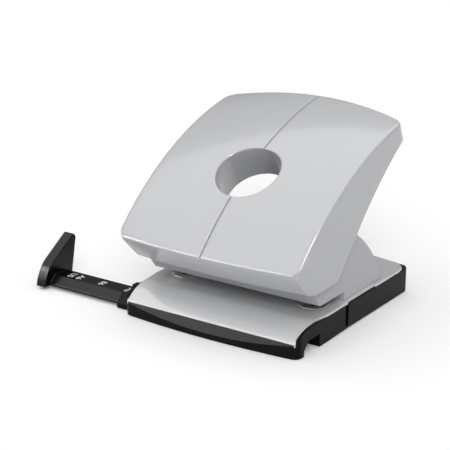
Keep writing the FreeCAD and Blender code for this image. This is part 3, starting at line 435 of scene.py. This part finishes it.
def grow(bm, ring, move):
    """Extrudes a closed ring of edges; ring maps each vertex to a key of its own.

    move gives the new place of a vertex from its key. Returns the new ring.
    """
    edges = [edge for edge in bm.edges if edge.verts[0] in ring and edge.verts[1] in ring
             and edge.is_boundary]
    grown = {}
    for vert in only_verts(bmesh.ops.extrude_edge_only(bm, edges=edges)["geom"]):
        for edge in vert.link_edges:
            other = edge.other_vert(vert)
            if other in ring:
                grown[vert] = ring[other]
    for vert, key in grown.items():
        vert.co = move(key)
    return grown


def close_rim(bm, ring, target):
    """Closes the gap between two rings whose vertices have the same keys."""
    places = {key: vert.co.copy() for vert, key in target.items()}
    rim = grow(bm, ring, places.get)
    bmesh.ops.remove_doubles(bm, verts=list(rim) + list(target), dist=RIM_MERGE)


def bezier(a, b, c, t):
    """A point of the curve that leaves a towards b and arrives at c."""
    return a * ((1 - t) ** 2) + b * (2 * t * (1 - t)) + c * (t * t)


def limit(value):
    """The nearest value from 0 to 1."""
    return min(1.0, max(0.0, value))


def spread(marks, step):
    """Even steps between given marks, which all stay in the list."""
    places = []
    for low, high in zip(marks, marks[1:]):
        count = max(1, round((high - low) / step))
        places += [low + (high - low) * k / count for k in range(count)]
    return places + [marks[-1]]


# ---------------------------------------------------------------- the handle's shape

# arcs in the y-z plane, each with its centre's y, its centre's z and its radius
CROWN_SIDE = (89.0 * MM, -73.5 * MM, 174.4 * MM)       # the top along its sides
CROWN_MIDDLE = (99.0 * MM, -88.7 * MM, 195.1 * MM)     # the top along its middle
SKIRT_ARC = (185.3 * MM, -105.4 * MM, 230.0 * MM)      # lower edge of the side walls
SKIRT_REAR = -0.6 * MM                                 # that arc starts behind this place
FRONT_SIDE, FRONT_MIDDLE = -39.55 * MM, -43.55 * MM    # front edge of the handle
REAR_SIDE, REAR_MIDDLE = 62.3 * MM, 69.7 * MM          # rear edge of the handle
BOW_START = 21.0 * MM                                  # the edges' bow starts this far from the middle
LEAST_CORNER = 0.9 * MM                                # least rounding of a corner in plan
SHRINK_BY_DEPTH, SHRINK_BY_EDGE = 0.6, 0.55            # how fast corners shrink inwards and upwards

LIP_BOTTOM = 30.3 * MM                                 # height of the front lip's lower edge
LIP_FADE = 37 * MM                                     # length in which the lip's slope runs out at the sides
LIP_MITRE = 0.41                                       # keeps the sloping lip as thick as the wall
REAR_WALL = (5.2 * MM, 9.8 * MM)                       # lean and height of the rear wall
REAR_TURN = 1.3                                        # how fast the side walls turn into the rear wall
OUTLINE_MIDDLE = 12.0 * MM                             # y of a place well inside the outline

HOLE_CENTRE = Vector((0.0, -0.1 * MM, 78.0 * MM))
HOLE_BLOCK = (21.5 * MM, 18.5 * MM)                    # half size of the grid's part that the hole takes
HOLE_BLEND = 1.05                                      # how far past that block, in its sizes, the grid bends
HOLE_MARGIN = 1.1                                      # past this many blocks a boundary is the outer one
HOLE_PASSES = 6                                        # steps in which the hole's edge is found

STEP = 2.35 * MM                                       # size of the grid's faces
CORNER = 3.0 * MM                                      # size of the grid's part that a front corner takes
EDGE_BAND = 7.0 * MM                                   # the same for the side and rear edges
GROOVE_COLUMNS = (0.0, 0.38 * MM, 0.52 * MM, 1.2 * MM)
GROOVE_HALF = 0.41 * MM                                # half width within which the top is sunk
GROOVE_END = 0.2                                       # distance from the hole, in rim roundings
TOP_NORMAL, REAR_NORMAL = 0.05, 0.3                    # least z and most y of a normal of the grooved top

# shares at which a surface gets its rows of vertices
EDGE_ROWS = (0.3, 0.6, 1.0)
WALL_ROWS = (0.08, 0.3, 0.5, 0.7, 0.96, 1.0)
RIM_ROWS = (0.34, 0.67, 1.0)
TUBE_ROWS = (0.08, 0.35, 0.65, 0.96, 1.0)

SAME_PLACE = 0.1 * MM
CREASE_ANGLE = math.radians(50)                        # edges sharper than this get the crease
CREASE = 0.7


def arc_height(arc, y):
    """Height of an arc's upper side at y."""
    centre_y, centre_z, radius = arc
    return centre_z + math.sqrt(radius * radius - (y - centre_y) ** 2)


class HandleShape:
    """The curves that one skin of the handle is built on; depth is its distance from the outside."""

    def __init__(self, sizes, depth):
        self.sizes = sizes
        self.depth = depth
        self.half = sizes.half_width
        self.tilt = sizes.hole_tilt
        self.along = Vector((0, math.cos(self.tilt), math.sin(self.tilt)))
        self.up = Vector((0, -math.sin(self.tilt), math.cos(self.tilt)))

    def crown(self, x, y):
        """Height of the handle's top surface."""
        side = arc_height(CROWN_SIDE, y)
        share = 1 - (x / self.half) ** 2
        height = side + (arc_height(CROWN_MIDDLE, y) - side) * share
        lean = (CROWN_MIDDLE[0] - y) / CROWN_MIDDLE[2]
        return height - self.depth / math.sqrt(1 - lean * lean)

    def edge_y(self, x, end, inset):
        """The front (end -1) or rear (end 1) edge at a place across."""
        middle, side, rounding = ((FRONT_MIDDLE, FRONT_SIDE, self.sizes.front_edge) if end < 0
                                  else (REAR_MIDDLE, REAR_SIDE, self.sizes.rear_edge))
        return middle + (side - middle) * (x / self.half) ** 2 - end * (inset * rounding + self.depth)

    def plan(self, x, y, inset):
        """A grid place in the bowed plan; inset 1 draws it in by the edges' rounding."""
        side_inset = inset * self.sizes.side_edge
        reach = self.half - self.depth - side_inset
        x *= reach / self.half
        end, row, radius = ((-1, FRONT_MIDDLE, self.sizes.front_corner) if y < HOLE_CENTRE.y
                            else (1, REAR_MIDDLE, self.sizes.rear_corner))
        edge = self.edge_y(x, end, inset)
        y += (edge - row) * limit((y - end * BOW_START) / (row - end * BOW_START))
        radius = max(radius - SHRINK_BY_DEPTH * self.depth - SHRINK_BY_EDGE * side_inset, LEAST_CORNER)
        p = abs(x) - (reach - radius)
        q = end * (y - edge) + radius
        if p > 0 and q > 0:
            p, q = p / radius, q / radius
            round_p, round_q = p * math.sqrt(1 - q * q / 2), q * math.sqrt(1 - p * p / 2)
            flat_p, flat_q = p * (1 - q / 2), q * (1 - p / 2)
            bow = inset if end < 0 else 1.0    # the front corners are cut flat at the sharp outline
            p, q = flat_p + (round_p - flat_p) * bow, flat_q + (round_q - flat_q) * bow
            x = math.copysign(reach - radius + p * radius, x)
            y = edge + end * (q - 1) * radius
        return x, y

    def top(self, x, y):
        """The point of the top surface over a place in plan."""
        return Vector((x, y, self.crown(x, y)))

    def on_tube(self, a, b, h):
        """A point by its place across the thumb hole and its height along the hole's axis."""
        return HOLE_CENTRE + Vector((a, 0, 0)) + self.along * b + self.up * h

    def tube_height(self, a, b):
        """Height along the hole's axis at which the top surface lies."""
        h = 0.0
        for _ in range(HOLE_PASSES):
            point = self.on_tube(a, b, h)
            h += (self.crown(point.x, point.y) - point.z) * math.cos(self.tilt)
        return h

    def skirt(self, y):
        """Height of the lower edge of the side walls."""
        return LIP_BOTTOM if y < SKIRT_REAR else max(LIP_BOTTOM, arc_height(SKIRT_ARC, y))

    def foot(self, corner, out):
        """The lower end of the wall under a corner of the top's sharp outline; out is its way outwards."""
        front = self.edge_y(corner.x, -1, 0.0)
        slide = self.crown(corner.x, front) - LIP_BOTTOM
        fade = limit(1 - (corner.y - front) / LIP_FADE)
        y = corner.y + slide * fade
        below = Vector((corner.x, y + LIP_MITRE * self.depth * fade, self.skirt(y)))
        lean, height = REAR_WALL
        behind = self.top(corner.x, corner.y) + Vector((0, lean, self.depth - height))
        return below.lerp(behind, limit(REAR_TURN * out.y))


def handle_grid(bm, shape, hole_radius):
    """One skin of the handle's top with its round hole; returns its vertices with their grid places."""
    block_x, block_y = HOLE_BLOCK
    centre = HOLE_CENTRE.y
    right = list(GROOVE_COLUMNS) + spread(
        [GROOVE_COLUMNS[-1], block_x, shape.half - EDGE_BAND, shape.half - CORNER, shape.half], STEP)[1:]
    columns = [-x for x in reversed(right[1:])] + right
    rows = spread([FRONT_MIDDLE, FRONT_MIDDLE + CORNER, centre - block_y, centre + block_y,
                   REAR_MIDDLE - EDGE_BAND, REAR_MIDDLE], STEP)
    across, along = len(columns) - 1, len(rows) - 1
    verts = bmesh.ops.create_grid(bm, x_segments=across, y_segments=along, size=1.0)["verts"]
    for vert in verts:
        column, row = round((vert.co.x + 1) / 2 * across), round((vert.co.y + 1) / 2 * along)
        vert.co = Vector((columns[column], rows[row], 0))
    inside = []
    for face in dict.fromkeys(face for vert in verts for face in vert.link_faces):
        middle = face.calc_center_median()
        if abs(middle.x) < block_x and abs(middle.y - centre) < block_y:
            inside.append(face)
    bmesh.ops.delete(bm, geom=inside, context="FACES")
    home = {vert: (vert.co.x, vert.co.y) for vert in verts if vert.is_valid}
    for vert, (x, y) in home.items():
        u, v = x / block_x, (y - centre) / block_y
        reach = max(abs(u), abs(v))
        x, y = shape.plan(x, y, 1.0)
        far = limit((reach - 1) / HOLE_BLEND)
        if far < 1:
            # the square block closes in on the circle of the hole
            turn = math.atan2(v, u)
            a, b = reach * hole_radius * math.cos(turn), reach * hole_radius * math.sin(turn)
            point = shape.on_tube(a, b, shape.tube_height(a, b))
            keep = far * far * (3 - 2 * far)
            x, y = point.x * (1 - keep) + x * keep, point.y * (1 - keep) + y * keep
        vert.co = shape.top(x, y)
    return home


def plan_outward(corner, near):
    """Direction in plan that points out of an outline at one of its corners."""
    tangent = near[0] - near[1]
    out = Vector((tangent.y, -tangent.x, 0)).normalized()
    return -out if out.dot(Vector((corner.x, corner.y - OUTLINE_MIDDLE, 0))) < 0 else out


def handle_skin(bm, sizes, depth):
    """One skin of the handle, from the bottom of the thumb tube over the top to the lower edge.

    Returns the rings of the lower edge and of the tube's end, keyed by the vertices' grid places.
    """
    shape = HandleShape(sizes, depth)
    wall_radius = sizes.hole_radius + (sizes.tube_wall if depth else 0)
    home = handle_grid(bm, shape, wall_radius + sizes.hole_rim)
    rim = {vert: key for vert, key in home.items() if vert.is_boundary}
    ring = {vert: key for vert, key in rim.items() if abs(key[0]) > HOLE_BLOCK[0] * HOLE_MARGIN
            or abs(key[1] - HOLE_CENTRE.y) > HOLE_BLOCK[1] * HOLE_MARGIN}
    tube = {vert: key for vert, key in rim.items() if vert not in ring}

    corners = {vert: shape.top(*shape.plan(*key, 0.0)) for vert, key in ring.items()}
    walls = {}
    for vert, key in ring.items():
        near = [corners[edge.other_vert(vert)] for edge in vert.link_edges
                if edge.is_boundary and edge.other_vert(vert) in corners]
        corner, inner = corners[vert], vert.co.copy()
        foot = shape.foot(corner, plan_outward(corner, near))
        size = (corner - inner).to_2d().length
        walls[key] = (inner, corner, corner + (foot - corner).normalized() * size, foot)
    rays = {}
    for vert, key in tube.items():
        offset = vert.co - HOLE_CENTRE
        a, b = offset.x, offset.dot(shape.along)
        size = math.hypot(a, b)
        rays[key] = (a / size, b / size, shape.tube_height(a, b))

    def on_rim(key, t):
        a, b, h = rays[key]
        r = wall_radius + sizes.hole_rim * (1 - math.sin(t * math.pi / 2))
        return shape.on_tube(a * r, b * r, h - sizes.hole_rim * (1 - math.cos(t * math.pi / 2)))

    def in_tube(key, share):
        a, b, h = rays[key]
        top, bottom = h - sizes.hole_rim, -sizes.hole_depth
        return shape.on_tube(a * wall_radius, b * wall_radius, top + (bottom - top) * share)

    for t in EDGE_ROWS:
        ring = grow(bm, ring, lambda key: bezier(*walls[key][:3], t))
    column = dict(ring)
    for share in WALL_ROWS:
        ring = grow(bm, ring, lambda key: walls[key][2].lerp(walls[key][3], share))
        column.update(ring)
    crease_columns(bm, column)
    for t in RIM_ROWS:
        tube = grow(bm, tube, lambda key: on_rim(key, t))
    for share in TUBE_ROWS:
        tube = grow(bm, tube, lambda key: in_tube(key, share))
    return ring, tube


def crease_columns(bm, column):
    """Keeps the front corners of the walls crisp; column maps the walls' vertices to their grid places."""
    crease = bm.edges.layers.float["crease_edge"]
    half = max(x for x, _ in column.values())
    crisp = ((half - CORNER, FRONT_MIDDLE), (half, FRONT_MIDDLE + CORNER))
    for edge in bm.edges:
        start, end = (column.get(vert) for vert in edge.verts)
        if start and start == end and any(math.dist((abs(start[0]), start[1]), place) < SAME_PLACE
                                          for place in crisp):
            edge[crease] = 1.0
            edge.smooth = False


def cut_groove(bm, sizes):
    """Sinks the fine line that runs along the middle of the handle's top."""
    bm.normal_update()
    clear = sizes.hole_radius + GROOVE_END * sizes.hole_rim
    for vert in bm.verts:
        on_top = vert.normal.z > TOP_NORMAL and vert.normal.y < REAR_NORMAL
        if abs(vert.co.x) < GROOVE_HALF and on_top and (vert.co - HOLE_CENTRE).length > clear:
            vert.co -= vert.normal * sizes.groove


def build_handle_cover(sizes):
    """The handle cover: an outer and an inner skin, joined along the lower edge and in the thumb hole."""
    bm = bmesh.new()
    crease = bm.edges.layers.float.new("crease_edge")
    outer_foot, outer_end = handle_skin(bm, sizes, 0.0)
    bmesh.ops.recalc_face_normals(bm, faces=bm.faces)
    top = max(bm.faces, key=lambda face: face.calc_center_median().z)
    if top.normal.z < 0:
        bmesh.ops.reverse_faces(bm, faces=bm.faces)
    cut_groove(bm, sizes)
    inner_foot, inner_end = handle_skin(bm, sizes, sizes.wall)
    close_rim(bm, outer_foot, inner_foot)
    close_rim(bm, outer_end, inner_end)
    bmesh.ops.recalc_face_normals(bm, faces=bm.faces)
    for edge in bm.edges:
        if edge.calc_face_angle() > CREASE_ANGLE:
            edge[crease] = max(edge[crease], CREASE)
    made = piece("handle_shell", bm, handle_plastic(), "handle", ("handle_cover",))
    smooth = made.modifiers.new("Subdivision", "SUBSURF")
    smooth.levels = 1
    smooth.render_levels = 1


WEB_START = Vector((0.0, -15.0 * MM, 61.0 * MM))       # front end of the lever's web
WEB_ANGLE = math.radians(25)
BOSS_ACROSS = 34.0 * MM
BOSSES = ((9.0 * MM, 6.8 * MM), (57.0 * MM, 8.2 * MM))    # place along the web, and length
BOSS_RADIUS, BOSS_BORE, BORE_DEPTH = 3.4 * MM, 1.5 * MM, 6.6 * MM
BOSS_STEPS = 32


def build_bosses():
    """The four screw bosses that stand on the lever's web and end in the handle's top."""
    bm = bmesh.new()
    tilt = Matrix.Rotation(WEB_ANGLE, 4, "X")
    for side in (-1, 1):
        for along, height in BOSSES:
            profile = ((0.0, 0, height), (BOSS_RADIUS, 0, height), (BOSS_RADIUS, 0, 0.0), (BOSS_BORE, 0, 0.0),
                       (BOSS_BORE, 0, BORE_DEPTH), (0.0, 0, BORE_DEPTH))
            turned = turn_profile(bm, profile, BOSS_STEPS)
            place = WEB_START + Vector((side * BOSS_ACROSS, along * math.cos(WEB_ANGLE),
                                        along * math.sin(WEB_ANGLE)))
            bmesh.ops.transform(bm, verts=turned, matrix=Matrix.Translation(place) @ tilt)
    bmesh.ops.recalc_face_normals(bm, faces=bm.faces)
    piece("handle_bosses", bm, handle_plastic(), "handle", ("handle_cover",))


# ---------------------------------------------------------------- the base's shape

# past these places the plate's edges are drawn out
PLATE_FRONT, PLATE_SIDE, PLATE_REAR = -34.3 * MM, 52.0 * MM, 70.0 * MM
FRONT_OVERHANG = Vector((0, -0.54 * MM, -0.45 * MM))
SIDE_OVERHANG = Vector((0.5 * MM, 0, 0))
REAR_OVERHANG = Vector((0, 1.4 * MM, 0))
NOTCH_X, NOTCH_Y = (50.5 * MM, 51.9 * MM), (10.0 * MM, 44.0 * MM)    # where the side notches' edge lies
NOTCH_FILL = Vector((0.9 * MM, 0, 0))
RIM_HEIGHT = (0.7 * MM, 0.9 * MM)                      # between these lies the tray's lower edge
RIM_DROP = Vector((0, 0, -0.45 * MM))
BENDING_LINE, BENDING_ROOM = 11.3 * MM, 1.0 * MM       # where the flap bends, and what stays clear of it


def overhang(bm):
    """Draws the plate's edges out over the walls of the tray."""
    shift(bm, lambda place: place.y < PLATE_FRONT, FRONT_OVERHANG)
    shift(bm, lambda place: place.y > PLATE_REAR, REAR_OVERHANG)
    for side in (-1, 1):
        shift(bm, lambda place: side * place.x > PLATE_SIDE, side * SIDE_OVERHANG)
        shift(bm, lambda place: (NOTCH_X[0] < side * place.x < NOTCH_X[1]
                                 and NOTCH_Y[0] < place.y < NOTCH_Y[1]), side * NOTCH_FILL)


def lower_rim(bm):
    """Draws the tray's lower edge down to just above the desk, but not at the flap's bending line."""
    shift(bm, lambda place: (RIM_HEIGHT[0] < place.z < RIM_HEIGHT[1]
                             and abs(place.y - BENDING_LINE) > BENDING_ROOM), RIM_DROP)


# ---------------------------------------------------------------- dies, springs and marks

DIE_HOLE = 2.85 * MM
DIE_SINK = 0.15 * MM                                   # the die's face lies this far below the frame's disc
# the raised rim, by distance inwards from the disc's edge and height above the disc
DIE_RIM = ((1.0 * MM, -DIE_SINK), (0.8 * MM, 0.05 * MM), (0.6 * MM, 0.15 * MM), (0.3 * MM, 0.15 * MM),
           (0.0, -0.1 * MM))
DIE_STEPS = 64
STOP_EDGE = 0.6                                        # the stop's edges, as a share of the other mouldings'

RAIL_MARKS = (("US", -101.6 * MM), ("A6", -95.7 * MM), ("B6", -80.2 * MM), ("A5", -62.3 * MM))
MARK_SIZE, MARK_BOLD, MARK_DEPTH = 5.0 * MM, 0.03 * MM, 0.02 * MM
MARK_Y, MARK_Z = -21.6 * MM, 7.02 * MM                 # middle and height of the marks on the rail


def die_plate(side):
    """A round die with a fine raised rim, in place of the plain disc of the frame."""
    low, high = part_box(f"die_{side}")
    middle = Vector(((low.x + high.x) / 2, (low.y + high.y) / 2, 0))
    radius = (high.x - low.x) / 2
    line = [(DIE_HOLE, low.z), (DIE_HOLE, high.z - DIE_SINK)]
    line += [(radius - inwards, high.z + height) for inwards, height in DIE_RIM] + [(radius, low.z)]
    bm = bmesh.new()
    turn_profile(bm, [middle + Vector((r, 0, z)) for r, z in line], DIE_STEPS, centre=middle, closed=True)
    bmesh.ops.recalc_face_normals(bm, faces=bm.faces)
    piece(f"die_plate_{side}", bm, plate_paint(), "base", (f"die_{side}",))


def return_coil(side):
    """A return spring: a copy of the frame's coil, on the base, with a mesh of its own."""
    node = f"return_spring_{side}"
    bm = merged_copy(node, MERGE)
    made = piece(f"return_coil_{side}", bm, spring_steel(), "base", (node,))
    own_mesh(made)


def rail_mark(text, x):
    """One paper size mark, printed across the rail's flat top."""
    curve = bpy.data.curves.new("mark", "FONT")
    curve.body = text
    curve.size = MARK_SIZE
    curve.offset = MARK_BOLD
    curve.extrude = MARK_DEPTH
    curve.align_x = "CENTER"
    curve.align_y = "CENTER"
    letters = bpy.data.objects.new("mark", curve)
    mesh = bpy.data.meshes.new_from_object(letters)
    bpy.data.objects.remove(letters)
    bpy.data.curves.remove(curve)
    quarter_turn = Matrix.Rotation(-math.pi / 2, 4, "Z")
    mesh.transform(Matrix.Translation((x, MARK_Y, MARK_Z)) @ quarter_turn)
    mesh.materials.clear()
    mesh.materials.append(print_ink())
    made = new_object(f"size_mark_{text}", mesh)
    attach(made, "stop_rail")


# ---------------------------------------------------------------- the studio

FLOOR_RADIUS, BACKDROP_RADIUS, BACKDROP_HEIGHT = 30.0, 29.9, 4.6
STAGE_STEPS = 96
FLOOR_SHADE, FLOOR_ROUGHNESS = (0.88, 0.88, 0.88, 1), 0.9
FLOOR_GLOW = 0.11                                      # what the floor adds to its light where it is seen
BLACK, WHITE = (0, 0, 0, 1), (1, 1, 1, 1)
ROOM_FADE = (0.2, 0.6)                                 # between these heights the room turns bright

# turn from the camera's azimuth, angle above the desk and spread of the soft lamps
KEY_LIGHT = (0.0, math.radians(32), math.radians(30))
TOP_LIGHT = (-math.radians(60), math.radians(80), math.radians(100))
LAMP_TARGET = Vector((0, 0, 0.04))
# one edge of the panel ends its reflection across the top of the handle
PANEL_EDGE = Vector((-0.90, 0.23, 1.0))
PANEL_TURN, PANEL_AHEAD = Vector((0.66, 0.75, 0)), Vector((0.75, -0.66, 0))
PANEL_SHIFT = 0.25                                     # how far the panel is moved along that edge
PANEL_SIZE = (1.9, 1.15)
STRIPS = (("edge strip", Vector((-0.50, -1.00, 0.74)), (1.5, 0.12), "strip"),
          ("low strip", Vector((-0.86, -0.98, 0.46)), (1.9, 0.36), "low"),
          ("corner strip", Vector((0.27, -0.42, 0.95)), (0.10, 0.40), "corner"))

CAMERA_PLACE = Vector((375.86, -569.30, 280.06)) * MM
SENSOR = 36.0
CLIP = (0.01, 100.0)


def direction(azimuth, elevation):
    """The way from the punch out into the room; azimuth 0 is its front."""
    return Vector((math.sin(azimuth) * math.cos(elevation), -math.cos(azimuth) * math.cos(elevation),
                   math.sin(elevation)))


def aim(made, way):
    """Turns a lamp or the camera to look along a way."""
    made.rotation_euler = way.to_track_quat("-Z", "Y").to_euler()


def soft_lamp(name, azimuth, setting, strength):
    """A distant soft light that lights the surfaces and isn't mirrored in them."""
    turn, elevation, spread_angle = setting
    lamp = bpy.data.lights.new(name, "SUN")
    lamp.energy = strength
    lamp.angle = spread_angle
    made = new_object(name, lamp)
    made.location = direction(azimuth + turn, elevation)
    made.visible_glossy = False
    aim(made, -made.location)


def gloss_lamp(name, place, size, power):
    """A panel that is only seen mirrored in glossy surfaces."""
    lamp = bpy.data.lights.new(name, "AREA")
    lamp.shape = "RECTANGLE"
    lamp.size, lamp.size_y = size
    lamp.energy = power
    made = new_object(name, lamp)
    made.location = place
    made.visible_diffuse = False
    aim(made, LAMP_TARGET - place)
    return made


def seen_directly(tree):
    """1 where a ray comes from the camera or by way of a mirror or glass, else 0."""
    path = tree.nodes.new("ShaderNodeLightPath")
    seen = math_node(tree, "MAXIMUM", path.outputs["Is Camera Ray"], path.outputs["Is Glossy Ray"])
    return math_node(tree, "MAXIMUM", seen, path.outputs["Is Transmission Ray"])


def stage_material(name, base, roughness, glow):
    """A matt stage surface that glows only where it is seen, and so adds no light to the scene."""
    made, tree, shader = new_material(name)
    set_values(shader, {"Base Color": base, "Roughness": roughness, "Specular IOR Level": 0.0,
                        "Emission Color": WHITE})
    tree.links.new(math_node(tree, "MULTIPLY", seen_directly(tree), glow), shader.inputs["Emission Strength"])
    return made


def build_floor():
    """A round pale floor, and a low white wall far behind it."""
    bm = bmesh.new()
    bmesh.ops.create_circle(bm, cap_ends=True, segments=STAGE_STEPS, radius=FLOOR_RADIUS)
    pale = stage_material("studio floor", FLOOR_SHADE, FLOOR_ROUGHNESS, FLOOR_GLOW)
    floor = mesh_object("floor", bm, pale)
    bm = bmesh.new()
    bmesh.ops.create_circle(bm, cap_ends=False, segments=STAGE_STEPS, radius=BACKDROP_RADIUS)
    wall = bmesh.ops.extrude_edge_only(bm, edges=bm.edges[:])["geom"]
    bmesh.ops.translate(bm, verts=only_verts(wall), vec=(0, 0, BACKDROP_HEIGHT))
    backdrop = mesh_object("backdrop", bm, stage_material("backdrop", BLACK, FLOOR_ROUGHNESS, 1.0))


def build_room(scene, brightness):
    """A room that is dark near the horizon and bright overhead."""
    world = bpy.data.worlds.new("studio world")
    world.use_nodes = True
    tree = world.node_tree
    back = tree.nodes["Background"]
    back.inputs["Color"].default_value = WHITE
    way = tree.nodes.new("ShaderNodeSeparateXYZ")
    tree.links.new(tree.nodes.new("ShaderNodeTexCoord").outputs["Generated"], way.inputs[0])
    ramp = tree.nodes.new("ShaderNodeMapRange")
    ramp.interpolation_type = "SMOOTHSTEP"
    ramp.inputs["From Min"].default_value, ramp.inputs["From Max"].default_value = ROOM_FADE
    ramp.inputs["To Max"].default_value = brightness
    tree.links.new(way.outputs["Z"], ramp.inputs["Value"])
    tree.links.new(ramp.outputs["Result"], back.inputs["Strength"])
    scene.world = world


def build_lamps(studio):
    """Two soft lamps that light the surfaces, and the panel and strips that they mirror."""
    soft_lamp("key light", studio.azimuth, KEY_LIGHT, studio.key)
    soft_lamp("top light", studio.azimuth, TOP_LIGHT, studio.top)
    middle = PANEL_EDGE + PANEL_TURN * PANEL_SHIFT + PANEL_AHEAD * PANEL_SIZE[1] / 2
    panel = gloss_lamp("gloss panel", middle, PANEL_SIZE, studio.panel)
    panel.rotation_euler = (0, 0, math.atan2(PANEL_TURN.y, PANEL_TURN.x))
    for name, place, size, power in STRIPS:
        gloss_lamp(name, place, size, getattr(studio, power))


def build_camera(scene, studio):
    """The camera, which looks at the punch from the front right."""
    lens = bpy.data.cameras.new("camera")
    lens.lens = studio.lens
    lens.sensor_width = SENSOR
    lens.clip_start, lens.clip_end = CLIP
    camera = new_object("camera", lens)
    camera.location = CAMERA_PLACE
    aim(camera, -direction(studio.azimuth, studio.elevation))
    scene.camera = camera


# ---------------------------------------------------------------- operators

class PUNCH_OT_studio(bpy.types.Operator):
    """Build the floor, the room, the lamps and the camera"""
    bl_idname = "punch.studio"
    bl_label = "Studio"

    def execute(self, context):
        scene = context.scene
        build_floor()
        build_room(scene, scene.punch_studio.room)
        build_lamps(scene.punch_studio)
        build_camera(scene, scene.punch_studio)
        scene.view_settings.view_transform = "Standard"
        return {"FINISHED"}


class PUNCH_OT_handle(bpy.types.Operator):
    """Build the handle cover"""
    bl_idname = "punch.handle"
    bl_label = "Handle cover"

    def execute(self, context):
        build_handle_cover(context.scene.punch_handle)
        build_bosses()
        return {"FINISHED"}


class PUNCH_OT_housing(bpy.types.Operator):
    """Round the housing's edges and give it its finish"""
    bl_idname = "punch.housing"
    bl_label = "Housing"

    def execute(self, context):
        edge = context.scene.punch_base.plastic_edge
        eased_copy("housing", "housing_shell", "base", housing_plastic(), edge, 3)
        return {"FINISHED"}


class PUNCH_OT_base(bpy.types.Operator):
    """Build the base plate, the tray and its flap"""
    bl_idname = "punch.base"
    bl_label = "Base"

    def execute(self, context):
        sizes = context.scene.punch_base
        eased_copy("base_plate", "top_plate", "base", plate_paint(), sizes.plate_edge, 3,
                   reshape=overhang)
        eased_copy("base_tray", "rear_tray", "base", black_plastic(), sizes.plastic_edge,
                   reshape=lower_rim)
        eased_copy("tray_flap", "front_tray", "tray_flap", black_plastic(),
                   sizes.plastic_edge, reshape=lower_rim)
        for node in ("rubber_feet_front", "rubber_feet_rear"):
            coat_node(node, rubber())
        return {"FINISHED"}


class PUNCH_OT_works(bpy.types.Operator):
    """Build the dies, brackets, springs and lever, and give the steel parts their finish"""
    bl_idname = "punch.works"
    bl_label = "Punch works"

    def execute(self, context):
        edge = context.scene.punch_base.metal_edge
        for side in ("left", "right"):
            eased_copy(f"punch_bracket_{side}", f"bracket_plate_{side}", "base", zinc_steel(), edge)
            coat_node(f"punch_pin_{side}", ground_steel())
            return_coil(side)
            die_plate(side)
            for node in (f"pin_clip_{side}", f"guide_bush_{side}"):
                coat_node(node, zinc_steel())
        eased_copy("lever_frame", "lever_plate", "handle", zinc_steel(), edge)
        for node in ("bracket_rivets", "base_screws", "axle_clips", "handle_screws"):
            coat_node(node, zinc_steel())
        for node in ("fulcrum_axle", "press_rod"):
            coat_node(node, ground_steel())
        return {"FINISHED"}


class PUNCH_OT_stop(bpy.types.Operator):
    """Build the paper stop and its marks"""
    bl_idname = "punch.stop"
    bl_label = "Paper stop"

    def execute(self, context):
        edge = context.scene.punch_base.plastic_edge
        eased_copy("stop_rail", "stop_bar", "stop_rail", rail_plastic(), edge * STOP_EDGE)
        for text, x in RAIL_MARKS:
            rail_mark(text, x)
        return {"FINISHED"}


class PUNCH_PT_panel(bpy.types.Panel):
    """Lists the operators and the values that they read"""
    bl_label = "Hole punch"
    bl_idname = "PUNCH_PT_panel"
    bl_space_type = "VIEW_3D"
    bl_region_type = "UI"
    bl_category = "Hole punch"

    def draw(self, context):
        for operator in OPERATORS:
            self.layout.operator(operator.bl_idname)
        for attribute, group in GROUPS:
            box = self.layout.box()
            for name in group.__annotations__:
                box.prop(getattr(context.scene, attribute), name)


OPERATORS = (PUNCH_OT_studio, PUNCH_OT_handle, PUNCH_OT_housing, PUNCH_OT_base, PUNCH_OT_works,
             PUNCH_OT_stop)
CLASSES = tuple(group for _, group in GROUPS) + OPERATORS + (PUNCH_PT_panel,)


def register():
    for kind in CLASSES:
        bpy.utils.register_class(kind)
    for attribute, group in GROUPS:
        setattr(bpy.types.Scene, attribute, bpy.props.PointerProperty(type=group))


def unregister():
    for attribute, _ in GROUPS:
        delattr(bpy.types.Scene, attribute)
    for kind in reversed(CLASSES):
        bpy.utils.unregister_class(kind)


def main():
    register()
    bpy.ops.punch.studio()
    bpy.ops.punch.handle()
    bpy.ops.punch.housing()
    bpy.ops.punch.base()
    bpy.ops.punch.works()
    bpy.ops.punch.stop()


if __name__ == "__main__":
    main()
